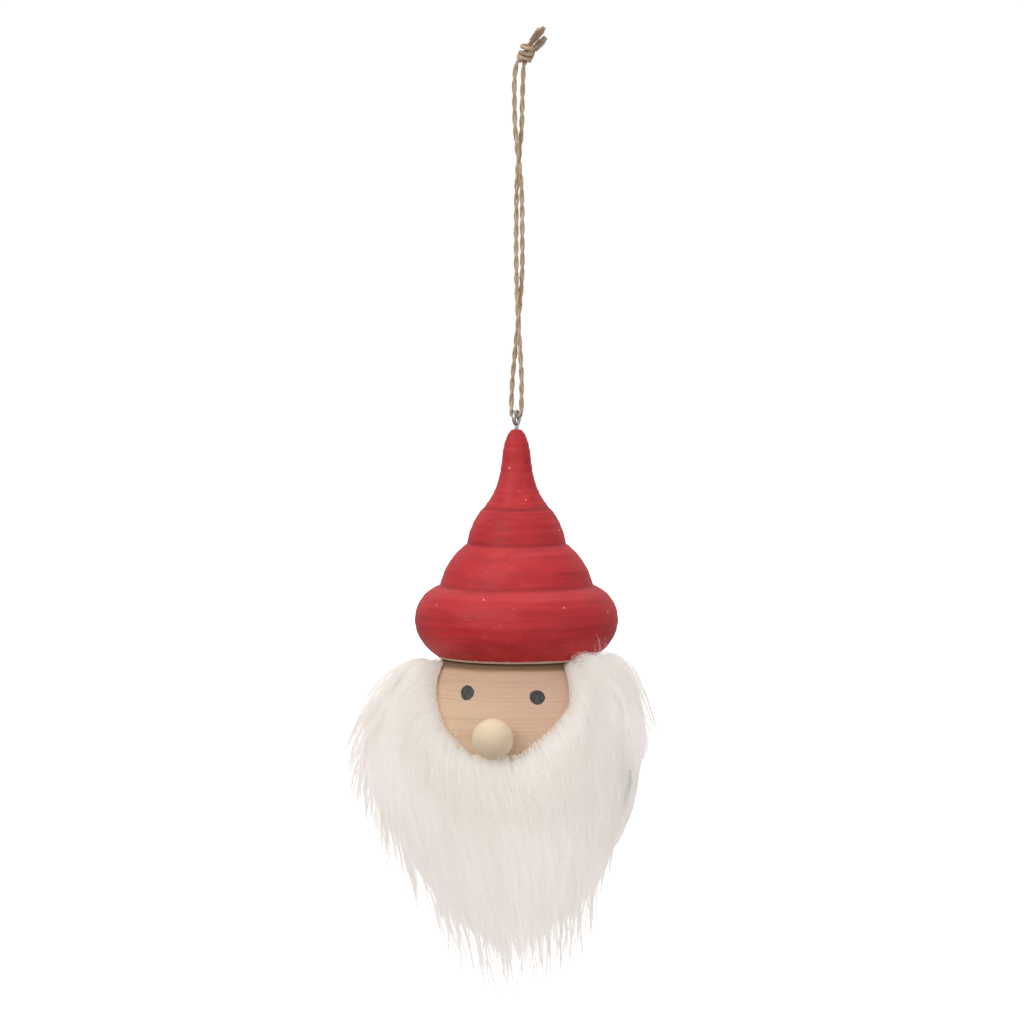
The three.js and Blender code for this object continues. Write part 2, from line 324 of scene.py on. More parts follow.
class GeometryTree(Tree):
    """A Geometry Nodes tree with named inputs, applied to a source mesh and turned into a plain mesh."""

    def __init__(self, name: str, inputs: Mapping[str, str]) -> None:
        """Makes the tree.

        Args:
            name: The tree's name.
            inputs: Each input's name and socket type, without the mesh that it works on.
        """
        group = bpy.data.node_groups.new(name, "GeometryNodeTree")
        super().__init__(group)
        group.interface.new_socket("Source", in_out="INPUT", socket_type="NodeSocketGeometry")
        for label, kind in inputs.items():
            group.interface.new_socket(label, in_out="INPUT", socket_type=kind)
        group.interface.new_socket("Result", in_out="OUTPUT", socket_type="NodeSocketGeometry")
        self.start = group.nodes.new("NodeGroupInput")
        self.end = group.nodes.new("NodeGroupOutput")

    def given(self, label: str) -> Value:
        """One of the tree's inputs."""
        return Value(self, self.start.outputs[label])

    def stored(self, label: str, vector: bool = True) -> Any:
        """A named attribute of the geometry, as a vector or a number."""
        kind = {"data_type": "FLOAT_VECTOR" if vector else "FLOAT"}
        return (self.arrow if vector else self.value)("GeometryNodeInputNamedAttribute", kind, {"Name": label})

    def store(self, geometry: Any, label: str, given: Any) -> Any:
        """Stores a value or vector on each point.

        Args:
            geometry: The geometry socket.
            label: The attribute's name.
            given: What to store.

        Returns:
            The geometry socket with the attribute.
        """
        kind = "FLOAT_VECTOR" if isinstance(given, Arrow) else "FLOAT"
        settings = {"data_type": kind, "domain": "POINT"}
        inputs = {"Geometry": geometry, "Name": label, "Value": given}
        return self.out("GeometryNodeStoreNamedAttribute", settings, inputs)

    def chance(self, low: Any, high: Any, seed: int) -> Any:
        """A random number or vector for each point, from low to high."""
        vector = isinstance(low, tuple)
        inputs = {"Min": low, "Max": high, "Seed": seed}
        kind = {"data_type": "FLOAT_VECTOR" if vector else "FLOAT"}
        return (self.arrow if vector else self.value)("FunctionNodeRandomValue", kind, inputs)

    def close(self, geometry: Any) -> None:
        """Ends the tree with shading, real meshes and the material."""
        smooth = self.out("GeometryNodeSetShadeSmooth", {}, {"Geometry": geometry})
        real = self.out("GeometryNodeRealizeInstances", {}, {"Geometry": smooth})
        done = self.out("GeometryNodeSetMaterial", {}, {"Geometry": real, "Material": self.given("Material")})
        self.give(self.end.inputs[0], done)

    def make(
        self, name: str, source: bpy.types.Mesh, values: Mapping[str, Any], drop: Sequence[str] = ()
    ) -> bpy.types.Object:
        """Runs the tree on a mesh.

        Args:
            name: The new piece's name.
            source: The mesh that it works on.
            values: The tree's inputs by name.
            drop: Attributes that the finished mesh doesn't need.

        Returns:
            A piece with a plain mesh.
        """
        carrier = place(name + "_source", source)
        modifier = carrier.modifiers.new("grow", "NODES")
        modifier.node_group = self.tree
        for item in self.tree.interface.items_tree:
            if item.in_out == "INPUT" and item.name in values:
                modifier[item.identifier] = values[item.name]
        carrier.update_tag()
        graph = bpy.context.evaluated_depsgraph_get()
        mesh = bpy.data.meshes.new_from_object(carrier.evaluated_get(graph))
        mesh.name = name
        for label in drop:
            if label in mesh.attributes:
                mesh.attributes.remove(mesh.attributes[label])
        bpy.data.objects.remove(carrier)
        return place(name, mesh)


# ---------------------------------------------------------------- mesh helpers


def place(name: str, mesh: bpy.types.Mesh) -> bpy.types.Object:
    """Puts a mesh in the scene, at the origin."""
    piece = bpy.data.objects.new(name, mesh)
    bpy.context.scene.collection.objects.link(piece)
    return piece


def mesh_of(name: str, points: Any, faces: Sequence[Sequence[int]], smooth: bool = True) -> bpy.types.Mesh:
    """Makes a mesh.

    Args:
        name: The mesh's name.
        points: Its points, in mm.
        faces: Point numbers of each face, or of each edge where there are two.
        smooth: Whether its faces are shaded smooth.

    Returns:
        The mesh, in metres.
    """
    mesh = bpy.data.meshes.new(name)
    edges = [f for f in faces if len(f) == 2]
    mesh.from_pydata((np.asarray(points, float) * MM).tolist(), edges, [f for f in faces if len(f) > 2])
    mesh.validate()
    mesh.shade_smooth() if smooth else mesh.shade_flat()
    return mesh


def turns(sides: int) -> np.ndarray:
    """Evenly spaced angles round a full turn."""
    return np.linspace(0, FULL_TURN, sides, endpoint=False)


def rounds(side: np.ndarray, up: np.ndarray, sides: int) -> np.ndarray:
    """Directions round a line at each of its points, from two directions across it."""
    turn = turns(sides)[None, :, None]
    return side[:, None] * np.cos(turn) + up[:, None] * np.sin(turn)


def ring_faces(rings: int, sides: int, first: int = 0) -> list[list[int]]:
    """Faces between neighbouring rings of points.

    Args:
        rings: How many rings there are.
        sides: How many points each one has.
        first: The number of the first point.

    Returns:
        The faces, ring by ring.
    """
    faces = []
    for i in range(rings - 1):
        low, high = first + i * sides, first + (i + 1) * sides
        faces += [[low + j, low + (j + 1) % sides, high + (j + 1) % sides, high + j] for j in range(sides)]
    return faces


def curve_through(points: Any, step: float) -> np.ndarray:
    """A smooth line through points.

    Args:
        points: The points that it passes, in mm.
        step: About how far apart the new points are.

    Returns:
        The line's points.
    """
    p = np.asarray(points, float)
    p = np.vstack([2 * p[0] - p[1], p, 2 * p[-1] - p[-2]])
    line = [p[1]]
    for a, b, c, d in zip(p, p[1:], p[2:], p[3:]):
        knots = np.cumsum([0] + [max(np.linalg.norm(v - u), 1e-6) ** 0.5 for u, v in ((a, b), (b, c), (c, d))])
        count = max(2, round(float(np.linalg.norm(c - b)) / step))
        for t in np.linspace(knots[1], knots[2], count + 1)[1:]:
            near = [
                ((knots[i + 1] - t) * u + (t - knots[i]) * v) / (knots[i + 1] - knots[i])
                for i, (u, v) in enumerate(((a, b), (b, c), (c, d)))
            ]
            far = [
                ((knots[i + 2] - t) * near[i] + (t - knots[i]) * near[i + 1]) / (knots[i + 2] - knots[i])
                for i in (0, 1)
            ]
            line.append(((knots[2] - t) * far[0] + (t - knots[1]) * far[1]) / (knots[2] - knots[1]))
    return np.array(line)


def frames_along(line: np.ndarray) -> tuple[np.ndarray, np.ndarray, np.ndarray]:
    """Directions that turn with a line without twisting.

    Args:
        line: The line's points.

    Returns:
        The line's direction and two directions across it, at each point.
    """
    ahead = np.gradient(line, axis=0)
    ahead /= np.linalg.norm(ahead, axis=1)[:, None]
    across = np.cross(ahead[0], (0.3, 0.9, 0.1))
    sides = []
    for direction in ahead:
        across = across - direction * (across @ direction)
        across = across / np.linalg.norm(across)
        sides.append(across)
    side = np.array(sides)
    return ahead, side, np.cross(ahead, side)


def tube(line: np.ndarray, radius: Any, sides: int) -> tuple[np.ndarray, list]:
    """A closed round tube along a line.

    Args:
        line: The middle line's points, in mm.
        radius: Its radius, one number or one for each point.
        sides: How many sides it has.

    Returns:
        Points and faces.
    """
    _, side, up = frames_along(line)
    size = np.broadcast_to(np.asarray(radius, float), len(line))[:, None, None]
    rings = line[:, None] + size * rounds(side, up, sides)
    last = (len(line) - 1) * sides
    ends = [list(range(sides))[::-1], list(range(last, last + sides))]
    return rings.reshape(-1, 3), ring_faces(len(line), sides) + ends


def turned(outline: np.ndarray, sides: int) -> tuple[np.ndarray, list]:
    """A closed shape turned round the vertical axis.

    Args:
        outline: Radius and height of each point, from the bottom up; the first and last are on the axis.
        sides: How many sides it has.

    Returns:
        Points and faces.
    """
    turn = turns(sides)
    middle = outline[1:-1]
    radius, height = middle[:, :1], np.repeat(middle[:, 1:], sides, 1)
    rings = np.stack([radius * np.cos(turn), radius * np.sin(turn), height], -1)
    count = len(middle)
    points = np.vstack([rings.reshape(-1, 3), [0, 0, outline[0, 1]], [0, 0, outline[-1, 1]]])
    faces = ring_faces(count, sides)
    low, high = count * sides, count * sides + 1
    faces += [[low, (j + 1) % sides, j] for j in range(sides)]
    faces += [[high, (count - 1) * sides + j, (count - 1) * sides + (j + 1) % sides] for j in range(sides)]
    return points, faces


def bezier_outline(start: Sequence[float], arcs: Sequence[Sequence[Sequence[float]]], count: int) -> np.ndarray:
    """Points on a chain of Bezier curves.

    Args:
        start: Where the chain starts.
        arcs: The two handles and the end of each curve.
        count: How many points each curve gets.

    Returns:
        The points.
    """
    points, here = [np.asarray(start, float)], np.asarray(start, float)
    for handle_a, handle_b, end in arcs:
        a, b, c = (np.asarray(v, float) for v in (handle_a, handle_b, end))
        for t in np.linspace(0, 1, count + 1)[1:]:
            rest = 1 - t
            points.append(rest**3 * here + 3 * rest**2 * t * a + 3 * rest * t * t * b + t**3 * c)
        here = c
    return np.array(points)


def head_outline(outwards: float) -> np.ndarray:
    """The head's outline moved outwards, from its lowest point to the edge of its flat top.

    Args:
        outwards: How far it is moved, in mm.

    Returns:
        Radius and height from the hat's underside at each point, in mm.
    """
    low = np.linspace(-math.pi / 2, 0, 40)
    ball = np.stack([HEAD_RADIUS * np.cos(low), HEAD_RADIUS * np.sin(low) - HEAD_DROP], -1)
    top = bezier_outline(ball[-1], [[(35, -16.5), (27.2, -6.6), (22.4, -1)]], 30)[1:]
    points = np.vstack([ball, top])
    along = np.gradient(points, axis=0)
    along /= np.linalg.norm(along, axis=1)[:, None]
    moved = points + outwards * np.stack([along[:, 1], -along[:, 0]], -1)
    moved[0, 0] = 0
    return moved


def on_head(azimuth: Any, height: Any, outwards: float) -> np.ndarray:
    """Points on the head's surface, or outside it.

    Args:
        azimuth: Degrees round from the nose towards the gnome's left.
        height: Height from the hat's underside, in mm.
        outwards: Distance outside the surface.

    Returns:
        The points, in mm.
    """
    outline = head_outline(outwards)
    radius = np.interp(height, outline[:, 1], outline[:, 0])
    turn = np.radians(azimuth)
    return np.stack([radius * np.sin(turn), -radius * np.cos(turn), np.asarray(height) + HAT_BASE], -1)


def seen_to_row(points: Any) -> np.ndarray:
    """Turns points given as right, towards the viewer and up from the hat's underside into the row frame, in mm."""
    p = np.asarray(points, float)
    c, s = math.cos(VIEW_TURN), math.sin(VIEW_TURN)
    return np.stack([p[..., 0] * c + p[..., 1] * s, p[..., 0] * s - p[..., 1] * c, p[..., 2] + HAT_BASE], -1)


# ---------------------------------------------------------------- finishes


@dataclass(frozen=True)
class Finish:
    """A procedural finish: the base of all the others."""

    slot: Slot
    name: str

    def material(self) -> bpy.types.Material:
        """The finish's material, made the first time it is asked for."""
        known = bpy.data.materials.get(self.name)
        if known is not None:
            return known
        material = bpy.data.materials.new(self.name)
        material.use_nodes = True
        shader = material.node_tree.nodes["Principled BSDF"]
        self.paint(Tree(material.node_tree), shader)
        return material

    def paint(self, tree: Tree, shader: bpy.types.Node) -> None:
        """Connects the finish's patterns to the shader."""
        raise NotImplementedError

    def dress(self, piece: bpy.types.Object) -> None:
        """Gives a new piece this finish."""
        piece.data.materials.clear()
        piece.data.materials.append(self.material())

    @staticmethod
    def here(tree: Tree) -> Arrow:
        """Where the shaded point is, in metres."""
        return tree.arrow("ShaderNodeTexCoord", {}, {}, "Object")

    @staticmethod
    def bumped(tree: Tree, shader: bpy.types.Node, height: Value, distance: float, strength: float) -> None:
        """Gives the shader a bump.

        Args:
            tree: The material's tree.
            shader: The shader.
            height: The pattern of heights.
            distance: How high 1 stands, in metres.
            strength: The bump's strength.
        """
        bump = tree.out("ShaderNodeBump", {}, {"Height": height, "Distance": distance, "Strength": strength})
        tree.give(shader.inputs["Normal"], bump)

    @staticmethod
    def feed(tree: Tree, shader: bpy.types.Node, **inputs: Any) -> None:
        """Sets or links the shader's sockets, named with underscores for spaces."""
        for key, given in inputs.items():
            tree.give(shader.inputs[key.replace("_", " ")], given)


@dataclass(frozen=True)
class RedPaint(Finish):
    """Thin red paint brushed on while the hat turned, with bare wood at its lower edge and painted shade along its
    creases.
    """

    base: tuple = (0.50, 0.018, 0.024)
    light: tuple = (0.62, 0.040, 0.046)
    dark: tuple = (0.38, 0.012, 0.018)
    speck: tuple = (0.88, 0.40, 0.34)
    painted_crease_shade: tuple = (0.26, 0.010, 0.014)
    wood: tuple = (0.66, 0.50, 0.37)
    creases: tuple = (21.3, 33.5, 44.0)  # heights where two tiers meet
    bare_edge: tuple = (1.25, 0.85)  # heights between which the paint ends
    bare_radius: float = 26.2

    def paint(self, tree: Tree, shader: bpy.types.Node) -> None:
        """Connects the finish's patterns to the shader."""
        here = self.here(tree)
        x, y, z = here.parts()
        radius = tree.vector(x, y, 0.0).length()
        across = radius.most(0.0005)
        down = z - radius * 0.7
        turning = tree.vector(x / across, y / across, down * 330.0)
        broad = tree.noise(turning, 1.4, 3.0, 0.6)
        fine = tree.noise(tree.vector(x / across * 2.4, y / across * 2.4, down * 1700.0), 1.5, 3.0, 0.7)
        patchy = tree.noise(here, 70.0, 4.0, 0.6)
        colour = tree.blend(broad.between(0.25, 0.62), self.dark, self.base)
        colour = tree.blend(patchy.between(0.38, 0.72) * 0.45, colour, self.light)
        colour = tree.blend(fine.between(0.52, 0.78) * 0.42, colour, self.light)
        colour = tree.blend(fine.between(0.46, 0.30) * 0.35, colour, self.dark)
        cells = tree.node("ShaderNodeTexVoronoi", {}, {"Vector": here, "Scale": 210.0})
        near, often = Value(tree, cells.outputs["Distance"]), Arrow(tree, cells.outputs["Color"]).parts()[0]
        specks = near.between(0.09, 0.04) * (often > 0.70)
        scratch = tree.noise(tree.vector(x * 420.0, y * 420.0, z * 2200.0), 1.0, 3.0, 0.7)
        scuffs = scratch.between(0.62, 0.74) * patchy.between(0.48, 0.60)
        colour = tree.blend((specks * 0.85).most(scuffs * 0.42), colour, self.speck)
        bottom = HAT_BASE * MM
        # painted shade: a dark line along each crease where two tiers meet, where the upper tier's shadow falls
        for crease in self.creases:
            off = z - (bottom + crease * MM)
            away = off * off
            colour = tree.blend(away.between(0.6e-6, 0.0) * 0.5, colour, self.painted_crease_shade)
        worn = tree.noise(here, 900.0, 3.0) * 0.0008
        high, low = (bottom + edge * MM for edge in self.bare_edge)
        bare = (z + worn).between(high, low) * (radius < self.bare_radius * MM)
        colour = tree.blend(bare, colour, self.wood)
        rough = 0.46 + fine * 0.16 + bare * 0.2
        self.feed(tree, shader, Base_Color=colour, Roughness=rough)
        self.feed(tree, shader, Coat_Weight=0.06, Coat_Roughness=0.35, Specular_IOR_Level=0.3)
        heights = fine * 0.6 + broad * 0.5 + scratch * 0.25 + specks * 0.5
        self.bumped(tree, shader, heights, 0.00022, 0.6)


@dataclass(frozen=True)
class TurnedWood(Finish):
    """Sanded bare wood with turning marks and grain, and on the head a painted shade under the hat's brim."""

    base: tuple
    warm: tuple
    pink: tuple
    grain: float = 1.0
    shade_and_glue_top: float | None = None  # height that a painted shade under the hat's brim, with a darker glue line at the seam, rises to
    shade_and_glue: tuple = (0.20, 0.115, 0.058)

    def paint(self, tree: Tree, shader: bpy.types.Node) -> None:
        """Connects the finish's patterns to the shader."""
        here = self.here(tree)
        x, y, z = here.parts()
        lines = tree.noise(tree.vector(x * 45.0, y * 45.0, z * 900.0), 1.0, 4.0, 0.6)
        turning = tree.noise(tree.vector(x * 20.0, y * 20.0, z * 2600.0), 1.0, 2.0, 0.5)
        pores = tree.noise(tree.vector(x * 1400.0, y * 1400.0, z * 260.0), 1.0, 2.0, 0.6)
        clouds = tree.noise(here, 55.0, 3.0, 0.55)
        colour = tree.blend(clouds.between(0.35, 0.68), self.base, self.warm)
        colour = tree.blend((x * 18.0 + clouds * 0.8).between(-0.1, 1.1) * 0.85, colour, self.pink)
        shade = tuple(c * f for c, f in zip(self.base, (0.70, 0.60, 0.50)))
        colour = tree.blend(lines.between(0.48, 0.72) * (0.34 * self.grain), colour, shade)
        colour = tree.blend(turning.between(0.48, 0.74) * (0.30 * self.grain), colour, shade)
        colour = tree.blend(pores.between(0.58, 0.76) * (0.25 * self.grain), colour, shade)
        colour = tree.blend(lines.between(0.44, 0.28) * 0.30, colour, tuple(min(1.0, c * 1.12) for c in self.base))
        # painted shade: a dark brown band just under the hat, where the brim's shadow falls, with a glue line at the
        # seam
        if self.shade_and_glue_top is not None:
            top = self.shade_and_glue_top * MM
            edge = (z + lines * 0.0006).between(top - 0.0024, top - 0.0012)
            colour = tree.blend(edge * 0.88, colour, self.shade_and_glue)
        self.feed(tree, shader, Base_Color=colour, Roughness=0.5 + lines * 0.18, Specular_IOR_Level=0.32)
        self.feed(tree, shader, Subsurface_Weight=0.08, Subsurface_Scale=0.0012)
        self.bumped(tree, shader, lines * 0.6 + turning * 0.5 + pores * 0.4, 0.00010, 0.35 * self.grain)


@dataclass(frozen=True)
class EyePaint(Finish):
    """Flat dark grey paint, a little uneven."""

    base: tuple = (0.036, 0.040, 0.038)
    light: tuple = (0.085, 0.090, 0.085)

    def paint(self, tree: Tree, shader: bpy.types.Node) -> None:
        """Connects the finish's patterns to the shader."""
        here = self.here(tree)
        dabs = tree.noise(here, 900.0, 3.0, 0.6)
        grain = tree.noise(here, 4200.0, 2.0)
        colour = tree.blend(dabs.between(0.35, 0.7), self.base, self.light)
        self.feed(tree, shader, Base_Color=colour, Roughness=0.45 + dabs * 0.3, Specular_IOR_Level=0.35)
        self.bumped(tree, shader, dabs * 0.8 + grain * 0.3, 0.0001, 0.5)


@dataclass(frozen=True)
class BentSteel(Finish):
    """Zinc-bright bent wire with drawing marks."""

    base: tuple = (0.56, 0.55, 0.53)
    dull: tuple = (0.30, 0.29, 0.28)

    def paint(self, tree: Tree, shader: bpy.types.Node) -> None:
        """Connects the finish's patterns to the shader."""
        here = self.here(tree)
        clouds = tree.noise(here, 1300.0, 4.0, 0.6)
        grain = tree.noise(here, 9000.0, 2.0)
        colour = tree.blend(clouds.between(0.40, 0.70), self.base, self.dull)
        self.feed(tree, shader, Base_Color=colour, Metallic=1.0, Roughness=0.22 + clouds * 0.25)
        self.bumped(tree, shader, clouds * 0.7 + grain * 0.3, 0.00005, 0.4)


@dataclass(frozen=True)
class KnittedBacking(Finish):
    """The tightly knitted cloth that the pile is fixed in."""

    base: tuple = (0.93, 0.91, 0.88)
    shade: tuple = (0.76, 0.73, 0.69)

    def paint(self, tree: Tree, shader: bpy.types.Node) -> None:
        """Connects the finish's patterns to the shader."""
        uv = tree.arrow("ShaderNodeUVMap", {"uv_map": "cloth"}, {})
        u, v, _ = uv.parts()
        courses = (v * 2.0 * math.pi + (u * 2.0 * math.pi).sine() * 1.1).sine() * 0.5 + 0.5
        wales = (u * 2.0 * math.pi).cosine() * 0.5 + 0.5
        fuzz = tree.noise(self.here(tree), 5200.0, 3.0, 0.7)
        loops = courses * 0.55 + wales * 0.45
        colour = tree.blend((loops * 0.8 + fuzz * 0.4).between(0.30, 0.85), self.shade, self.base)
        self.feed(tree, shader, Base_Color=colour, Roughness=0.86 + fuzz * 0.1, Specular_IOR_Level=0.2)
        self.feed(tree, shader, Sheen_Weight=0.25, Sheen_Roughness=0.5)
        self.bumped(tree, shader, loops + fuzz * 0.4, 0.0004, 0.8)


@dataclass(frozen=True)
class PlushFibre(Finish):
    """Long silky fibre that lets light through; each one a slightly different white."""

    base: tuple = (0.985, 0.978, 0.968)
    cool: tuple = (0.985, 0.962, 0.975)
    warm: tuple = (0.972, 0.952, 0.925)
    lit_root: tuple = (0.44, 0.43, 0.415)  # the light that reaches a fibre through its neighbours
    lit_tip: tuple = (0.68, 0.66, 0.675)
    clear: float = 0.3

    def paint(self, tree: Tree, shader: bpy.types.Node) -> None:
        """Connects the finish's patterns to the shader."""
        tone = tree.value("ShaderNodeAttribute", {"attribute_name": "tone"}, {}, "Fac")
        reach = tree.value("ShaderNodeAttribute", {"attribute_name": "reach"}, {}, "Fac")
        locks = tree.noise(self.here(tree), 95.0, 2.0)
        colour = tree.blend((tone * 0.5 + locks * 0.6).between(0.30, 0.80), self.warm, self.base)
        colour = tree.blend(reach.between(0.45, 1.0) * 0.7, colour, self.cool)
        self.feed(tree, shader, Base_Color=colour, Roughness=0.42 + tone * 0.2, Specular_IOR_Level=0.35)
        lit = tree.blend(reach.between(0.3, 1.0), self.lit_root, self.lit_tip)
        self.feed(tree, shader, Emission_Color=lit, Emission_Strength=0.3)
        glow = tree.node("ShaderNodeBsdfTranslucent", {}, {"Color": colour})
        both = tree.node("ShaderNodeMixShader", {}, {0: self.clear, 1: shader.outputs[0], 2: glow.outputs[0]})
        tree.give(tree.tree.nodes["Material Output"].inputs["Surface"], both.outputs[0])


@dataclass(frozen=True)
class JuteFibre(Finish):
    """Dry golden-brown jute with fibres of several shades."""

    base: tuple = (0.50, 0.36, 0.24)
    light: tuple = (0.70, 0.54, 0.39)
    dark: tuple = (0.20, 0.115, 0.06)

    def paint(self, tree: Tree, shader: bpy.types.Node) -> None:
        """Connects the finish's patterns to the shader."""
        tone = tree.value("ShaderNodeAttribute", {"attribute_name": "tone"}, {}, "Fac")
        along = tree.value("ShaderNodeAttribute", {"attribute_name": "along"}, {}, "Fac")
        here = self.here(tree)
        runs = tree.noise(tree.vector(tone * 9.0, along * 260.0, tone * 4.0), 1.0, 3.0, 0.6)
        fibres = tree.noise(here, 5200.0, 3.0, 0.7)
        colour = tree.blend(runs.between(0.34, 0.66), self.base, self.light)
        colour = tree.blend(fibres.between(0.55, 0.75) * 0.5, colour, self.dark)
        colour = tree.blend(tone.between(0.75, 1.0) * 0.35, colour, self.dark)
        self.feed(tree, shader, Base_Color=colour, Roughness=0.78 + fibres * 0.15, Specular_IOR_Level=0.25)
        self.bumped(tree, shader, fibres, 0.00012, 0.7)


@dataclass(frozen=True)
class StudioPaper(Finish):
    """White seamless paper."""

    base: tuple = (0.95, 0.95, 0.95)

    def paint(self, tree: Tree, shader: bpy.types.Node) -> None:
        """Connects the finish's patterns to the shader."""
        tooth = tree.noise(self.here(tree), 900.0, 2.0)
        colour = tree.blend(tooth, self.base, (0.93, 0.93, 0.93))
        self.feed(tree, shader, Base_Color=colour, Roughness=0.9)
        self.feed(tree, shader, Emission_Color=(1.0, 1.0, 1.0, 1.0), Emission_Strength=0.6)


RED_PAINT = RedPaint(Slot.PAINT, "red_turned_paint")
HEAD_WOOD = TurnedWood(
    Slot.HEAD, "turned_face_wood", (0.64, 0.455, 0.315), (0.66, 0.475, 0.305), (0.62, 0.405, 0.305), shade_and_glue_top=HAT_BASE
)
NOSE_WOOD = TurnedWood(
    Slot.NOSE, "turned_nose_wood", (0.78, 0.615, 0.44), (0.77, 0.63, 0.43), (0.78, 0.60, 0.45), grain=0.35
)
HIDDEN_WOOD = TurnedWood(Slot.HIDDEN, "birch_dowel", (0.70, 0.54, 0.36), (0.72, 0.55, 0.35), (0.68, 0.50, 0.34))
EYE_PAINT = EyePaint(Slot.EYES, "grey_eye_paint")
STEEL = BentSteel(Slot.STEEL, "bright_wire")
BACKING = KnittedBacking(Slot.BACKING, "knitted_backing")
FIBRE = PlushFibre(Slot.FUR, "plush_fibre")
JUTE = JuteFibre(Slot.JUTE, "jute_fibre")
PAPER = StudioPaper(Slot.FUR, "studio_paper")


def settle(piece: bpy.types.Object, body: Body, stands_for: Sequence[str] = ()) -> None:
    """Makes a piece ride on its body.

    Args:
        piece: The piece.
        body: The body that it moves with.
        stands_for: CAD nodes that it stands for.
    """
    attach(piece, body.value)
    if stands_for:
        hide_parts(*stands_for)
    log.info("%s: %d faces on %s", piece.name, len(piece.data.polygons), body.value)


def add_solid(name: str, points: np.ndarray, faces: Sequence, finish: Finish, node: str) -> None:
    """Makes a hard piece that rides on the ornament and stands for one CAD node.

    Args:
        name: The piece's name.
        points: Its points, in mm.
        faces: Its faces.
        finish: Its finish.
        node: The CAD node.
    """
    piece = place(name, mesh_of(name, points, faces))
    finish.dress(piece)
    settle(piece, Body.ORNAMENT, [node])


# ---------------------------------------------------------------- strands

# sizes of strands that gather in no locks or wisps
UNGATHERED = {"lock_density": 0.0, "wisp_density": 0.0, "lock_pull": 0.0, "wisp_pull": 0.0}


